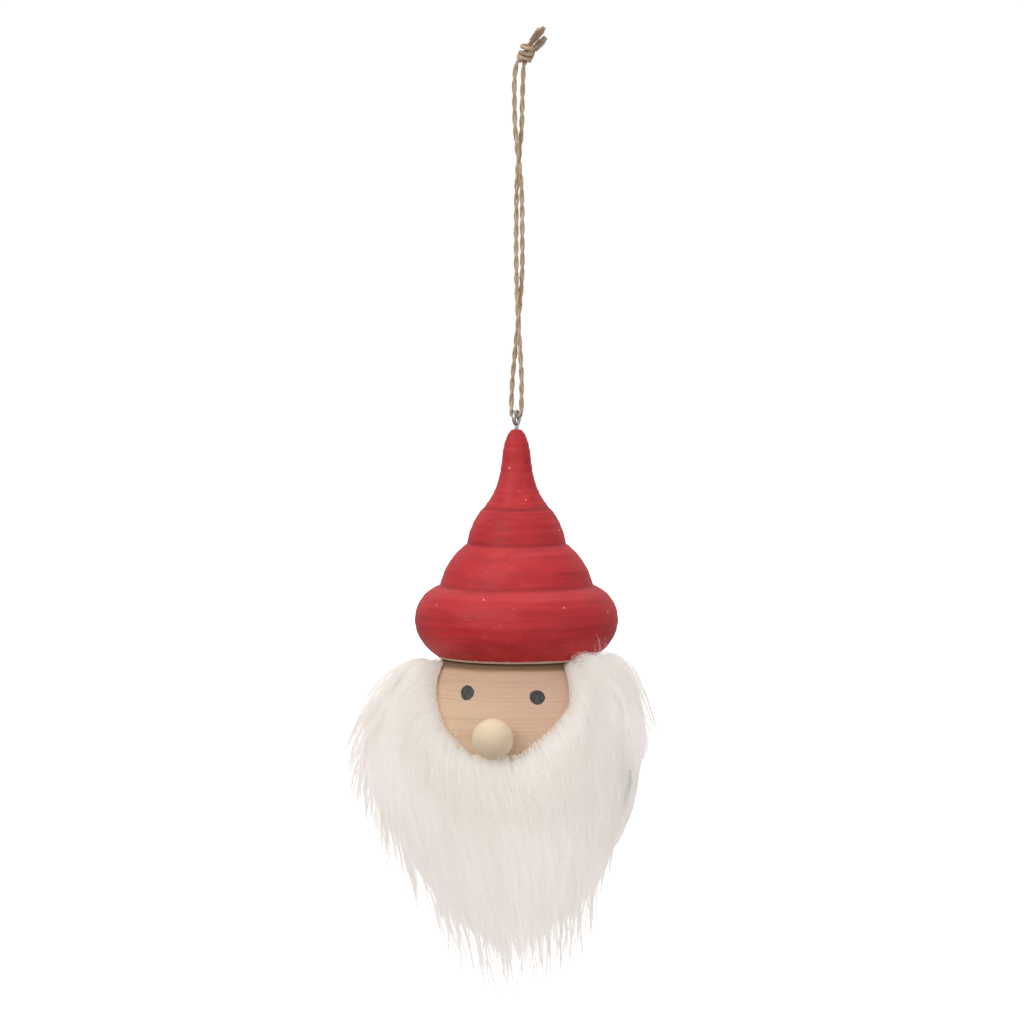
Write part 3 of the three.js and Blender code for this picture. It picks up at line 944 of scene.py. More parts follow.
@dataclass
class StrandGrower:
    """Grows tapered strands from a mesh whose points carry the three offsets of a strand's curve."""

    steps: int = 7
    offsets: tuple = ("bend_a", "bend_b", "tip")
    tree: GeometryTree = field(init=False)

    def __post_init__(self) -> None:
        """Builds the tree."""
        sizes = (
            "Density", "Thickness", "Lock Density", "Wisp Density", "Lock Pull", "Wisp Pull", "Stray", "Curl",
            "Shortest", "Longest", "Wander", "Wave", "Clear Radius", "Clear Depth",
        )
        inputs = {label: "NodeSocketFloat" for label in sizes}
        inputs |= {"Clear Middle": "NodeSocketVector", "Seed": "NodeSocketInt", "Material": "NodeSocketMaterial"}
        self.tree = GeometryTree("strands", inputs)
        self._build()

    def _offsets(self) -> list[Arrow]:
        """The strand's offsets at each point."""
        return [self.tree.stored(label) for label in self.offsets]

    def _gathered(self, roots: Any, label: str, density: Value, seed: int, spread: Value) -> Any:
        """Notes at each root where the middle strand of its lock runs.

        Args:
            roots: The roots' geometry.
            label: The lock's kind, which names its attributes.
            density: How many locks a square metre has.
            seed: The kind's own seed.
            spread: How far its tips wander.

        Returns:
            The roots with the lock's root and offsets stored.
        """
        t = self.tree
        inputs = {"Mesh": t.start.outputs["Source"], "Density": density, "Seed": t.given("Seed") + seed}
        locks = t.out("GeometryNodeDistributePointsOnFaces", {}, inputs)
        place_of = t.arrow("GeometryNodeInputPosition", {}, {})
        wander = t.chance((-1.0,) * 3, (1.0,) * 3, seed)
        locks = t.store(locks, label + "_0", place_of)
        for number, (offset, share) in enumerate(zip(self._offsets(), (0.15, 0.7, 1.0)), 1):
            locks = t.store(locks, f"{label}_{number}", offset + wander * (spread * share))
        nearest = t.out("GeometryNodeSampleNearest", {}, {"Geometry": locks, "Sample Position": place_of})
        for number in range(4):
            found = t.arrow(
                "GeometryNodeSampleIndex",
                {"data_type": "FLOAT_VECTOR"},
                {"Geometry": locks, "Value": t.stored(f"{label}_{number}"), "Index": nearest},
            )
            roots = t.store(roots, f"{label}_{number}", found)
        return roots

    def _along(self, label: str, share: Sequence[Value], size: Any) -> Arrow:
        """Where a curve runs.

        Args:
            label: The curve's kind, which names its attributes.
            share: The weights of its three offsets.
            size: The strand's own length.

        Returns:
            The place on the curve.
        """
        t = self.tree
        parts = [t.stored(f"{label}_{i + 1}") * (share[i] * size) for i in range(3)]
        return t.stored(label + "_0") + parts[0] + parts[1] + parts[2]

    def _build(self) -> None:
        """Adds the tree's nodes."""
        t = self.tree
        inputs = {"Mesh": t.start.outputs["Source"], "Density": t.given("Density"), "Seed": t.given("Seed")}
        roots = t.out("GeometryNodeDistributePointsOnFaces", {}, inputs)
        roots = t.store(roots, "own_0", t.arrow("GeometryNodeInputPosition", {}, {}))
        jitter = t.chance((-1.0,) * 3, (1.0,) * 3, 11)
        wild = t.chance(0.0, 1.0, 12) ** 5.0
        reach = t.given("Stray") * (0.25 + wild * 2.2)
        shares, curls = (0.12, 0.55, 1.0), (0.7, 1.0, 0.0)
        for number, (offset, share, curl) in enumerate(zip(self._offsets(), shares, curls), 1):
            bent = t.chance((-1.0,) * 3, (1.0,) * 3, 40 + number) * (t.given("Curl") * curl)
            roots = t.store(roots, f"own_{number}", offset + jitter * (reach * share) + bent)
        few_long = t.chance(0.0, 1.0, 13) ** 1.6
        roots = t.store(roots, "size", t.given("Shortest") + (t.given("Longest") - t.given("Shortest")) * few_long)
        roots = t.store(roots, "tone", t.chance(0.0, 1.0, 14))
        roots = t.store(roots, "layer", t.chance(0.0, 1.0, 15))
        roots = self._gathered(roots, "wisp", t.given("Wisp Density"), 21, t.given("Wander"))
        roots = self._gathered(roots, "lock", t.given("Lock Density"), 31, t.given("Wander") * 1.5)
        line = t.out("GeometryNodeCurvePrimitiveLine", {}, {"End": (0.0, 0.0, 0.01)})
        line = t.out("GeometryNodeResampleCurve", {"mode": "COUNT"}, {"Curve": line, "Count": self.steps})
        placed = t.out("GeometryNodeInstanceOnPoints", {}, {"Points": roots, "Instance": line})
        curves = t.out("GeometryNodeRealizeInstances", {}, {"Geometry": placed})
        s = t.value("GeometryNodeSplineParameter", {}, {}, "Factor")
        rest = 1.0 - s
        weights = (rest * rest * s * 3.0, rest * s * s * 3.0, s * s * s)
        size = t.stored("size", vector=False)
        layer = t.stored("layer", vector=False)
        own, wisp, lock = (self._along(label, weights, size) for label in ("own", "wisp", "lock"))
        loose = 1.0 - layer * 0.35
        path = own.toward(wisp, s ** 0.9 * t.given("Wisp Pull") * loose)
        path = path.toward(lock, s ** 1.3 * t.given("Lock Pull") * loose)
        drift = path + t.vector(0.0, layer * 0.012, 0.0)
        noise = t.arrow("ShaderNodeTexNoise", {}, {"Vector": drift, "Scale": 115.0, "Detail": 1.6}, "Color")
        sway = noise - (0.5, 0.5, 0.5)
        path = path + sway * (t.given("Wave") * s)
        middle = Arrow(t, t.given("Clear Middle").socket)  # strands keep outside a ball round it
        away = path - middle
        least = t.given("Clear Radius") + (s * 6.0).least(1.0) * t.given("Clear Depth") * layer
        path = middle + away * (least / away.length().most(1e-5)).most(1.0)
        curves = t.out("GeometryNodeSetPosition", {}, {"Geometry": curves, "Position": path})
        curves = t.store(curves, "reach", s)
        taper = (1.0 - s ** 3.0 * 0.8) * (0.75 + t.stored("tone", vector=False) * 0.5)
        ring = t.out("GeometryNodeCurvePrimitiveCircle", {"mode": "RADIUS"}, {"Resolution": 3, "Radius": 1.0})
        thick = t.given("Thickness") * 0.5 * taper
        solid = t.out(
            "GeometryNodeCurveToMesh", {}, {"Curve": curves, "Profile Curve": ring, "Scale": thick, "Fill Caps": True}
        )
        t.close(solid)

    def grow(self, name: str, scalp: bpy.types.Mesh, finish: Finish, **sizes: Any) -> bpy.types.Object:
        """Grows strands.

        Args:
            name: The piece's name.
            scalp: The mesh that they grow from.
            finish: Their finish.
            sizes: The tree's inputs, named with underscores for spaces.

        Returns:
            The piece.
        """
        values = {key.replace("_", " ").title(): given for key, given in sizes.items()}
        values["Material"] = finish.material()
        kept = ["size", "layer"] + [f"{kind}_{i}" for kind in ("own", "wisp", "lock") for i in range(4)]
        return self.tree.make(name, scalp, values, drop=[*kept, *self.offsets])

    def scalp(self, name: str, points: Any, faces: Sequence, offsets: Sequence[Any]) -> bpy.types.Mesh:
        """A mesh that strands grow from.

        Args:
            name: Its name.
            points: Its points, in mm.
            faces: Its faces.
            offsets: The two bends' and the tip's offset from the root at each point, in mm.

        Returns:
            The mesh.
        """
        mesh = mesh_of(name, points, faces)
        for label, given in zip(self.offsets, offsets):
            attribute = mesh.attributes.new(label, "FLOAT_VECTOR", "POINT")
            attribute.data.foreach_set("vector", (np.asarray(given, float) * MM).ravel())
        return mesh


# ---------------------------------------------------------------- hanging loop


@dataclass
class HangingLoop:
    """The doubled jute cord: one length of two-ply cord, knotted at the top and threaded through the screw eye."""

    diameter: float = 1.5
    strand_left: Sequence = (
        (0.4, 0, 0.1), (-0.4, -0.1, -3), (-0.5, -0.5, -12), (-0.2, -0.8, -20), (0.6, -1, -27), (1.5, -0.5, -36),
        (1.7, 0, -50), (1.5, 0.5, -63), (0.5, 1, -74), (-0.5, 0.8, -84), (-1.3, 0.5, -93), (-1.55, 0.39, -99),
        (-1.55, 0.39, -101.8),
    )
    strand_right: Sequence = (
        (2.1, 0.1, -1), (1.95, 0.1, -4), (1.6, 0.5, -12), (1.3, 0.9, -20), (0.6, 1, -27), (0, 0.5, -36),
        (-0.1, 0, -50), (0.1, -0.6, -63), (0.6, -1, -74), (1.2, -0.8, -84), (1.6, -0.5, -93), (1.55, -0.39, -99),
        (1.55, -0.39, -101.8),
    )
    tail_long: Sequence = ((4.4, -0.5, 5.6), (5.7, -0.6, 7.1), (7.1, -0.6, 8.6), (8.3, -0.5, 10))
    tail_short: Sequence = ((5.7, 0.6, 4.2), (6.7, 0.7, 5.1), (7.6, 0.7, 6.1), (8.5, 0.6, 7.1))
    knot_low: tuple = (1.9, 0.1, -0.4)
    knot_high: tuple = (3.5, 0.1, 5.0)
    wraps_left: Sequence = (
        (200, 0.5, 0.2), (180, 0.5, 0.5), (130, 0.7, 0.8), (90, 1.3, 0.98), (150, 1.75, 0.96), (205, 1.85, 0.90),
        (270, 1.9, 0.80), (330, 1.9, 0.72), (390, 1.85, 0.66), (450, 1.8, 0.62), (510, 1.85, 0.60), (565, 1.9, 0.56),
        (625, 1.9, 0.50), (680, 1.8, 0.50), (715, 1.5, 0.70), (735, 0.9, 0.92),
    )
    wraps_right: Sequence = (
        (20, 0.5, 0.08), (20, 0.5, 0.25), (60, 0.9, 0.42), (110, 1.6, 0.44), (170, 1.8, 0.38), (225, 1.85, 0.30),
        (280, 1.9, 0.22), (335, 1.9, 0.15), (385, 1.9, 0.22), (395, 2.0, 0.45), (390, 2.0, 0.62),
    )

    def _knot(self, wraps: Sequence) -> np.ndarray:
        """Points of one cord's way through the knot.

        Args:
            wraps: Degrees round the knot's leaning axis, distance from it in mm, and share of its height.

        Returns:
            The points, in mm.
        """
        low, high = np.array(self.knot_low), np.array(self.knot_high)
        turn, away, share = np.array(wraps, float).T[:, :, None]
        angle = np.radians(turn)
        return low + (high - low) * share + np.hstack([np.cos(angle), np.sin(angle), angle * 0]) * away

    def _bight(self) -> np.ndarray:
        """Points of the turn through the eye, from the left strand to the right one."""
        across = np.array([math.cos(EYE_TURN), math.sin(EYE_TURN), 0])
        middle = np.array([0, 0, RING_HEIGHT + 1.9])
        angles = np.radians([200, 225, 250, 270, 290, 315, 340])
        return np.array([middle + 1.6 * (across * math.cos(a) + np.array([0, 0, math.sin(a)])) for a in angles])

    def route(self) -> np.ndarray:
        """The whole cord's middle line from the short tail to the long one, in mm."""
        points = [
            *reversed(self.tail_short), *reversed(self._knot(self.wraps_right)), *self.strand_right,
            *self._bight()[::-1], *reversed(self.strand_left), *self._knot(self.wraps_left), *self.tail_long,
        ]
        return curve_through(points, 0.3)

    def _twist(self) -> GeometryTree:
        """The tree that lays twisted yarns round a line."""
        sizes = ("Ply Offset", "Yarn Offset", "Ply Pitch", "Yarn Pitch", "Yarn Radius", "Fray")
        inputs = {label: "NodeSocketFloat" for label in sizes}
        inputs |= {"Yarns": "NodeSocketInt", "Material": "NodeSocketMaterial"}
        t = GeometryTree("twisted_cord", inputs)
        line = t.out("GeometryNodeMeshToCurve", {}, {"Mesh": t.start.outputs["Source"]})
        amount = {"Geometry": line, "Amount": t.given("Yarns")}
        copies = t.node("GeometryNodeDuplicateElements", {"domain": "SPLINE"}, amount)
        number = Value(t, copies.outputs["Duplicate Index"])
        step = t.node("GeometryNodeSplineParameter", {}, {})
        along, share = Value(t, step.outputs["Length"]), Value(t, step.outputs["Factor"])
        ahead = t.arrow("GeometryNodeInputTangent", {}, {})
        side = t.arrow("GeometryNodeInputNormal", {}, {})
        up = ahead.cross(side)
        place_of = t.arrow("GeometryNodeInputPosition", {}, {})
        wobble = t.noise(place_of + t.vector(0.0, 0.0, number * 0.02), 420.0, 2.0)
        ply = number % 2.0
        ply_turn = along * FULL_TURN / t.given("Ply Pitch") + ply * math.pi
        yarn_turn = (number / 2.0).floor() * (FULL_TURN / 5) - along * FULL_TURN / t.given("Yarn Pitch")
        ends = share.between(0.014, 0.0) + share.between(0.984, 1.0)
        loose = 0.8 + wobble * 0.45 + ends * t.given("Fray")
        ply_away = t.given("Ply Offset") * (1.0 + ends * t.given("Fray") * 0.35)
        yarn_away = t.given("Yarn Offset") * loose
        shift = (side * ply_turn.cosine() + up * ply_turn.sine()) * ply_away
        shift = shift + (side * yarn_turn.cosine() + up * yarn_turn.sine()) * yarn_away
        moved = t.out("GeometryNodeSetPosition", {}, {"Geometry": copies.outputs["Geometry"], "Offset": shift})
        moved = t.store(moved, "along", along)
        moved = t.store(moved, "tone", (number * 0.37) % 1.0)
        ring = t.out("GeometryNodeCurvePrimitiveCircle", {"mode": "RADIUS"}, {"Resolution": 5, "Radius": 1.0})
        thick = t.given("Yarn Radius") * (0.72 + wobble * 0.5)
        tubes = {"Curve": moved, "Profile Curve": ring, "Scale": thick, "Fill Caps": True}
        t.close(t.out("GeometryNodeCurveToMesh", {}, tubes))
        return t

    def build(self, grower: StrandGrower) -> None:
        """Makes the cord and its loose fibres.

        Args:
            grower: What grows the fibres.
        """
        line = self.route()
        source = mesh_of("cord_line", line, [(i, i + 1) for i in range(len(line) - 1)])
        sizes = {
            "Ply Offset": 0.30 * MM, "Yarn Offset": 0.27 * MM, "Ply Pitch": 9.2 * MM, "Yarn Pitch": 6.3 * MM,
            "Yarn Radius": 0.20 * MM, "Fray": 0.7, "Yarns": 10, "Material": JUTE.material(),
        }
        cord = self._twist().make("jute_cord", source, sizes)
        fuzz = self._fuzz(grower, line)
        ends = self._frayed_ends(grower, line)
        nodes = ("knot", "strand_left", "strand_right", "bight", "tail_long", "tail_short")
        settle(cord, Body.CORD, ["cord_" + node for node in nodes])
        settle(fuzz, Body.CORD)
        settle(ends, Body.CORD)

    def _fuzz(self, grower: StrandGrower, line: np.ndarray) -> bpy.types.Object:
        """Short fibres that stand off the cord all along.

        Args:
            grower: What grows them.
            line: The cord's middle line.

        Returns:
            The piece.
        """
        ahead, side, up = frames_along(line)
        sides = 6
        points, faces = tube(line, 0.5, sides)
        out = rounds(side, up, sides).reshape(-1, 3)
        along = np.repeat(ahead, sides, 0)
        offsets = [out * 0.35 + along * 0.2, out * 0.7 + along * 0.7, out * 0.9 + along * 1.3]
        scalp = grower.scalp("cord_skin", points, faces[:-2], offsets)
        return grower.grow(
            "jute_fuzz", scalp, JUTE, **UNGATHERED, density=1.15e6, thickness=0.055 * MM, stray=1.5 * MM,
            curl=0.3 * MM, shortest=0.25, longest=1.08, wander=0.0, wave=1.0 * MM, clear_radius=0.0,
            clear_depth=0.0, seed=5,
        )

    def _frayed_ends(self, grower: StrandGrower, line: np.ndarray) -> bpy.types.Object:
        """Loose brushes of fibre at the two cut ends.

        Args:
            grower: What grows them.
            line: The cord's middle line.

        Returns:
            The piece.
        """
        points, faces, offsets = [], [], ([], [], [])
        sides, radii = 8, (0.0, 0.45, 0.9)
        brushes = ((line[-20], line[-1], 7.2), (line[15], line[0], 5.6))  # root, end and length in mm
        for root, end, size in brushes:
            ahead = (end - root) / np.linalg.norm(end - root)
            side = np.cross(ahead, (0.2, 1.0, 0.1))
            side /= np.linalg.norm(side)
            up = np.cross(ahead, side)
            faces += ring_faces(len(radii), sides, len(points))
            for radius in radii:
                for turn in turns(sides):
                    out = side * math.cos(turn) + up * math.sin(turn)
                    points.append(root + out * radius)
                    for bend, reach, flare in zip(offsets, (0.35, 0.75, 1.0), (0.35, 0.8, 1.1)):
                        bend.append(ahead * size * reach + out * radius * flare)
        scalp = grower.scalp("cord_ends", points, faces, offsets)
        return grower.grow(
            "jute_ends", scalp, JUTE, density=7.5e7, thickness=0.09 * MM, lock_density=1.5e6, wisp_density=6e6,
            lock_pull=0.1, wisp_pull=0.25, stray=0.8 * MM, curl=0.5 * MM, shortest=0.4, longest=1.08,
            wander=1.0 * MM, wave=1.2 * MM, clear_radius=0.0, clear_depth=0.0, seed=9,
        )


# ---------------------------------------------------------------- turned pieces


@dataclass
class ScrewEye:
    """The bent wire ring with a threaded shank."""

    ring_radius: float = 1.9
    wire_radius: float = 0.55
    shank: float = 9.0  # how deep it goes into the hat
    thread_turns: int = 6
    thread_radius: float = 0.56

    def build(self) -> None:
        """Makes the screw eye."""
        across = np.array([-math.sin(EYE_TURN), math.cos(EYE_TURN), 0])
        up = np.array([0.0, 0.0, 1.0])
        middle = up * RING_HEIGHT
        hat_top = HAT_BASE + HAT_HEIGHT
        tip = hat_top - self.shank
        straight = [up * height for height in (tip, tip + 3, RING_HEIGHT - 4.2, RING_HEIGHT - 3.2)]
        bend = up * (RING_HEIGHT - 2.35) + across * 0.12
        angles = np.radians(np.linspace(-62, 254, 22))
        ring = [middle + self.ring_radius * (across * math.cos(a) + up * math.sin(a)) for a in angles]
        line = curve_through([*straight, bend, *ring], 0.25)
        size = np.full(len(line), self.wire_radius)
        size[:6] = np.linspace(0.05, self.wire_radius, 6)
        size[-3:] = self.wire_radius * np.array([1, 0.97, 0.8])
        points, faces = tube(line, size, 14)
        count = 20 * self.thread_turns
        turn = np.linspace(0, FULL_TURN * self.thread_turns, count)
        heights = np.linspace(tip + 1.2, hat_top - 1.5, count)
        helix = np.stack([self.thread_radius * np.cos(turn), self.thread_radius * np.sin(turn), heights], -1)
        ridge, ridge_faces = tube(helix, 0.2, 4)
        faces += [[i + len(points) for i in f] for f in ridge_faces]
        add_solid("bent_screw_eye", np.vstack([points, ridge]), faces, STEEL, "screw_eye")


@dataclass
class Hat:
    """The turned hat: three tiers and a rolled brim under a narrow tip."""

    base_radius: float = 23.2
    sides: int = 144
    arcs: Sequence = (
        ((27.4, 3), (29.9, 7), (29.9, 11)),
        ((29.9, 15.6), (27.2, 19.6), (22.5, 21.2)),
        ((21.3, 27.2), (17.3, 31.6), (14.55, 33.4)),
        ((14.1, 37.2), (12.1, 41.3), (10.35, 43.3)),
        ((9.9, 43.8), (9.8, 43.7), (9.45, 44.1)),
        ((8.5, 45.7), (7.2, 47), (6.2, 49.6)),
        ((4.6, 53.6), (4.4, 57.1), (3.9, 61.1)),
        ((3.3, 64.2), (2.3, 66.6), (1.1, 67)),
    )
    ripple: float = 0.07

    def build(self) -> None:
        """Makes the hat."""
        side = bezier_outline((self.base_radius, 0.35), self.arcs, 22)
        along = np.arange(len(side))
        side[:, 0] += self.ripple * np.sin(along * 1.1) * np.sin(along * 0.23) * (side[:, 1] > 3)
        foot = [(0, 0), (4.3, 0), (12, 0), (self.base_radius - 0.35, 0), (self.base_radius - 0.08, 0.1)]
        tip = [(0.75, 66.85), (0.62, 66.5), (0, 66.3)]
        outline = np.vstack([foot, side, tip])
        outline[:, 1] += HAT_BASE
        add_solid("painted_hat", *turned(outline, self.sides), RED_PAINT, "hat")


@dataclass
class Head:
    """The turned wooden ball with its flat top, the nose ball and the two painted eyes."""

    flat_radius: float = 21.0
    nose_radius: float = 5.9
    nose_rise: float = math.radians(16.3)
    eye_rings: Sequence = (  # share of the dab's width, and height over the wood in mm
        (0.0, 0.13), (0.5, 0.13), (0.82, 0.14), (0.94, 0.12), (1.0, 0.03), (1.0, -0.15), (0.5, -0.15), (0.0, -0.15),
    )
    eyes: Mapping[str, tuple] = field(
        default_factory=lambda: {
            "eye_left": (-20.8, 41.6, 2.0, 2.8, -22.0),
            "eye_right": (22.1, 39.6, 2.15, 2.55, 8.0),
        }
    )

    def _ball(self) -> None:
        """Makes the head itself."""
        outline = head_outline(0)
        top = [(self.flat_radius + 0.7, -0.42), (self.flat_radius, -0.3), (12, -0.3), (0, -0.3)]
        outline = np.vstack([outline, top])
        outline[:, 1] += HAT_BASE
        add_solid("turned_head", *turned(outline, 128), HEAD_WOOD, "head")

    def _nose(self) -> None:
        """Makes the nose ball, resting on the head."""
        low = np.linspace(-math.pi / 2, math.pi / 2, 33)
        outline = np.stack([self.nose_radius * np.cos(low), self.nose_radius * np.sin(low)], -1)
        points, faces = turned(outline, 48)
        out = np.array([0, -math.cos(self.nose_rise), math.sin(self.nose_rise)])
        middle = np.array([0, 0, HEAD_MIDDLE]) + out * (HEAD_RADIUS + self.nose_radius + 0.1)
        add_solid("nose_ball", points + middle, faces, NOSE_WOOD, "nose")

    def _eye(
        self, name: str, azimuth: float, rise: float, width: float, height: float, tilt: float
    ) -> bpy.types.Object:
        """A dab of paint on the head.

        Args:
            name: The eye's name.
            azimuth: Degrees round from the nose.
            rise: Degrees above the head's middle.
            width: Half its width, in mm.
            height: Half its height, in mm.
            tilt: How far it leans, in degrees.

        Returns:
            The eye.
        """
        a, r = math.radians(azimuth), math.radians(rise)
        out = np.array([math.sin(a) * math.cos(r), -math.cos(a) * math.cos(r), math.sin(r)])
        side = np.array([math.cos(a), math.sin(a), 0])
        up = np.cross(out, side) * -1
        up = up if up[2] > 0 else -up
        lean = math.radians(tilt)
        side, up = side * math.cos(lean) - up * math.sin(lean), side * math.sin(lean) + up * math.cos(lean)
        rng = np.random.default_rng(int(abs(azimuth * 10)) + (azimuth > 0))
        sides = 40
        turn = turns(sides)
        wobble = 1 + sum(rng.normal(0, 0.014) * np.cos(turn * k + rng.uniform(0, 6.3)) for k in (2, 3, 4, 5, 7, 9))
        outline = head_outline(0)
        rings = []
        for share, lift in self.eye_rings:
            wide, high = np.cos(turn) * width * wobble * share, np.sin(turn) * height * wobble * share
            middle = out * HEAD_RADIUS + side * wide[:, None] + up * high[:, None]
            height_mm = middle[:, 2] - HEAD_DROP
            radius = np.interp(height_mm, outline[:, 1], outline[:, 0]) + lift
            scale = radius / np.linalg.norm(middle[:, :2], axis=1)
            rings.append(np.stack([middle[:, 0] * scale, middle[:, 1] * scale, height_mm + HAT_BASE], -1))
        points = np.vstack([rings[0][:1], *rings[1:-1], rings[-1][:1]])
        last = 1 + (len(rings) - 2) * sides
        faces = [[0, 1 + j, 1 + (j + 1) % sides] for j in range(sides)]
        for i in range(len(rings) - 3):
            row = 1 + i * sides
            after = row + sides
            faces += [[row + (j + 1) % sides, row + j, after + j, after + (j + 1) % sides] for j in range(sides)]
        row = last - sides
        faces += [[last, row + (j + 1) % sides, row + j] for j in range(sides)]
        mesh = mesh_of(name, points, faces)
        outwards(mesh)
        return place(name, mesh)

    def build(self) -> None:
        """Makes the head, nose and eyes."""
        self._ball()
        self._nose()
        for name, facts in self.eyes.items():
            eye = self._eye("painted_" + name, *facts)
            EYE_PAINT.dress(eye)
            settle(eye, Body.ORNAMENT, [name])
        for node in ("hat_dowel", "nose_peg"):
            piece = bpy.data.objects[node]
            for slot in piece.material_slots:
                slot.material = HIDDEN_WOOD.material()
            log.info("%s keeps its shape", node)


def outwards(mesh: bpy.types.Mesh) -> None:
    """Makes a closed mesh's faces point outwards."""
    work = bmesh.new()
    work.from_mesh(mesh)
    bmesh.ops.recalc_face_normals(work, faces=work.faces)
    work.to_mesh(mesh)
    work.free()


# ---------------------------------------------------------------- beard


@dataclass
class Rib:
    """A line across the beard's cloth, from the face opening to the outer edge, with the lie of the pile on it."""

    inner: tuple  # degrees round from the nose, height from the hat's underside
    outer: tuple
    strands: Sequence  # two bends and the tip, seen from the front, at the inner edge, the middle and the outer edge


@dataclass
class Beard:
    """The plush beard: a U-shaped piece of knitted cloth on the head, with long pile combed down from it."""

    ribs: Sequence = (
        Rib((-56, -1.6), (-91.5, -1.6), (
            ((-23, 19, 6.5), (-43, 23, 3.5), (-47, 18, -36)),
            ((-30, 6, 4.5), (-51, 8, 1), (-51, 10, -43)),
            ((-31, -8, 2), (-49, -10, -1), (-49, -8, -44)))),
        Rib((-37, -12.6), (-91.5, -27), (
            ((-26, 30, -8), (-38, 40, -14), (-39, 30, -50)),
            ((-41, 11, -16), (-51, 16, -24), (-45, 18, -52)),
            ((-42, -9, -26), (-49, -8, -36), (-43, 0, -52)))),
        Rib((-27, -18.5), (-91.5, -43), (
            ((-23, 38, -15), (-31, 50, -28), (-24, 36, -64)),
            ((-40, 18, -30), (-41, 25, -44), (-29, 24, -64)),
            ((-36, -8, -45), (-36, -4, -54), (-31, 8, -61)))),
        Rib((-18, -22.5), (-69.6, -57), (
            ((-18.5, 43, -20), (-24, 56, -36), (-6, 38, -78)),
            ((-32, 27, -41), (-28, 37, -56), (-11, 29, -83)),
            ((-26, 6, -60), (-23, 12, -68), (-16, 20, -78)))),
        Rib((-10.5, -25.5), (-22.6, -61), (
            ((-12, 46, -24), (-9, 58, -42), (7, 40, -83)),
            ((-15, 41, -46), (-8, 47, -62), (2, 34, -91)),
            ((-12, 22, -68), (-8, 28, -80), (-4, 26, -97)))),
        Rib((10.5, -25.5), (22.6, -61), (
            ((5, 48, -24), (11, 58, -42), (13, 40, -83)),
            ((6, 44, -46), (10, 49, -62), (7, 34, -90)),
            ((5, 26, -68), (4, 30, -82), (0, 27, -97)))),
        Rib((18, -22.5), (69.6, -57), (
            ((9, 46, -18), (15, 57, -36), (19, 38, -75)),
            ((21, 35, -42), (20, 38, -58), (17, 31, -79)),
            ((22, 14, -60), (22, 18, -66), (17, 21, -76)))),
        Rib((27, -18.5), (91.5, -43), (
            ((13, 43, -13), (20, 50, -28), (22, 35, -61)),
            ((27, 26, -33), (25, 29, -46), (21, 26, -64)),
            ((32, 5, -46), (27, 7, -52), (20, 11, -58)))),
        Rib((38.5, -12.6), (91.5, -27), (
            ((16, 35, -5), (25, 41, -11), (26, 32, -46)),
            ((30, 22, -16), (32, 23, -28), (28, 19, -48)),
            ((35, 5, -30), (33.5, 7, -38), (28, 9, -46)))),
        Rib((43, -7), (91.5, -12), (
            ((17, 32, 2), (28, 38, -2), (31, 29, -38)),
            ((28, 21, -5), (36, 23, -12), (35, 18, -38)),
            ((34, 5, -13), (38, 6, -22), (38, 8, -40)))),
        Rib((46, -1.6), (91.5, -1.6), (
            ((17, 28, 13), (30, 34, 12), (38, 26, -26)),
            ((25, 19, 12), (42, 23, 9), (45, 17, -34)),
            ((29, 6, 8), (45, 8, 7), (45.5, 8, -46)))),
    )
    locks: Mapping[str, tuple] = field(  # first and last rib, the depth of the pile in mm, the CAD node
        default_factory=lambda: {
            "left_temple": (0, 1, 9.0, "pile_left_temple"), "left_cheek": (1, 2, 9.0, "pile_left_cheek"),
            "left_jaw_side": (2, 3, 8.0, None), "left_jaw": (3, 4, 9.0, "pile_left_jaw"),
            "chin": (4, 5, 9.0, "pile_chin"), "right_jaw": (5, 6, 9.0, "pile_right_jaw"),
            "right_jaw_side": (6, 7, 2.6, None), "right_cheek": (7, 8, 2.2, "pile_right_cheek"),
            "right_temple": (8, 10, 6.0, "pile_right_temple"),
        }
    )
    columns: int = 6  # between two ribs
    rows: int = 14
    cloth_out: float = 0.9
    cloth_thickness: float = 1.2
    strand_thickness: float = 0.105
    density: float = 6.1e6

    def _grid(
        self, first: int, last: int, outwards_mm: float, top: float = 0.0, depth: float = 1.0
    ) -> tuple[np.ndarray, list, list[np.ndarray]]:
        """Points of the cloth between two ribs.

        Args:
            first: The first rib's number.
            last: The last one's.
            outwards_mm: How far outside the head they lie.
            top: How much of the way to the outer edge they leave out.
            depth: How much of the way to the outer edge they cover.

        Returns:
            Points, faces, and the strands' three offsets at each point.
        """
        stations = (0, 0.5, 1)  # where each rib's three strands stand
        steps = np.linspace(first, last, (last - first) * self.columns + 1)
        down = np.linspace(top, depth, self.rows + 1)
        edges = np.array([(*rib.inner, *rib.outer) for rib in self.ribs])
        roots = self._roots(edges)
        offsets = [np.array([[seen_to_row(s[k]) for s in rib.strands] for rib in self.ribs]) - roots for k in range(3)]
        points, bends = [], ([], [], [])
        for at in steps:
            i = min(int(at), len(self.ribs) - 2)
            share = at - i
            edge = edges[i] * (1 - share) + edges[i + 1] * share
            azimuth = edge[0] + (edge[2] - edge[0]) * down
            height = edge[1] + (edge[3] - edge[1]) * down
            points.append(on_head(azimuth, height, outwards_mm))
            for bend, offset in zip(bends, offsets):
                column = offset[i] * (1 - share) + offset[i + 1] * share
                bend.append(np.stack([np.interp(down, stations, column[:, axis]) for axis in range(3)], -1))
        wide = self.rows + 1
        faces = [
            [i * wide + j, i * wide + j + 1, (i + 1) * wide + j + 1, (i + 1) * wide + j]
            for i in range(len(steps) - 1)
            for j in range(self.rows)
        ]
        return np.vstack(points), faces, [np.vstack(b) for b in bends]

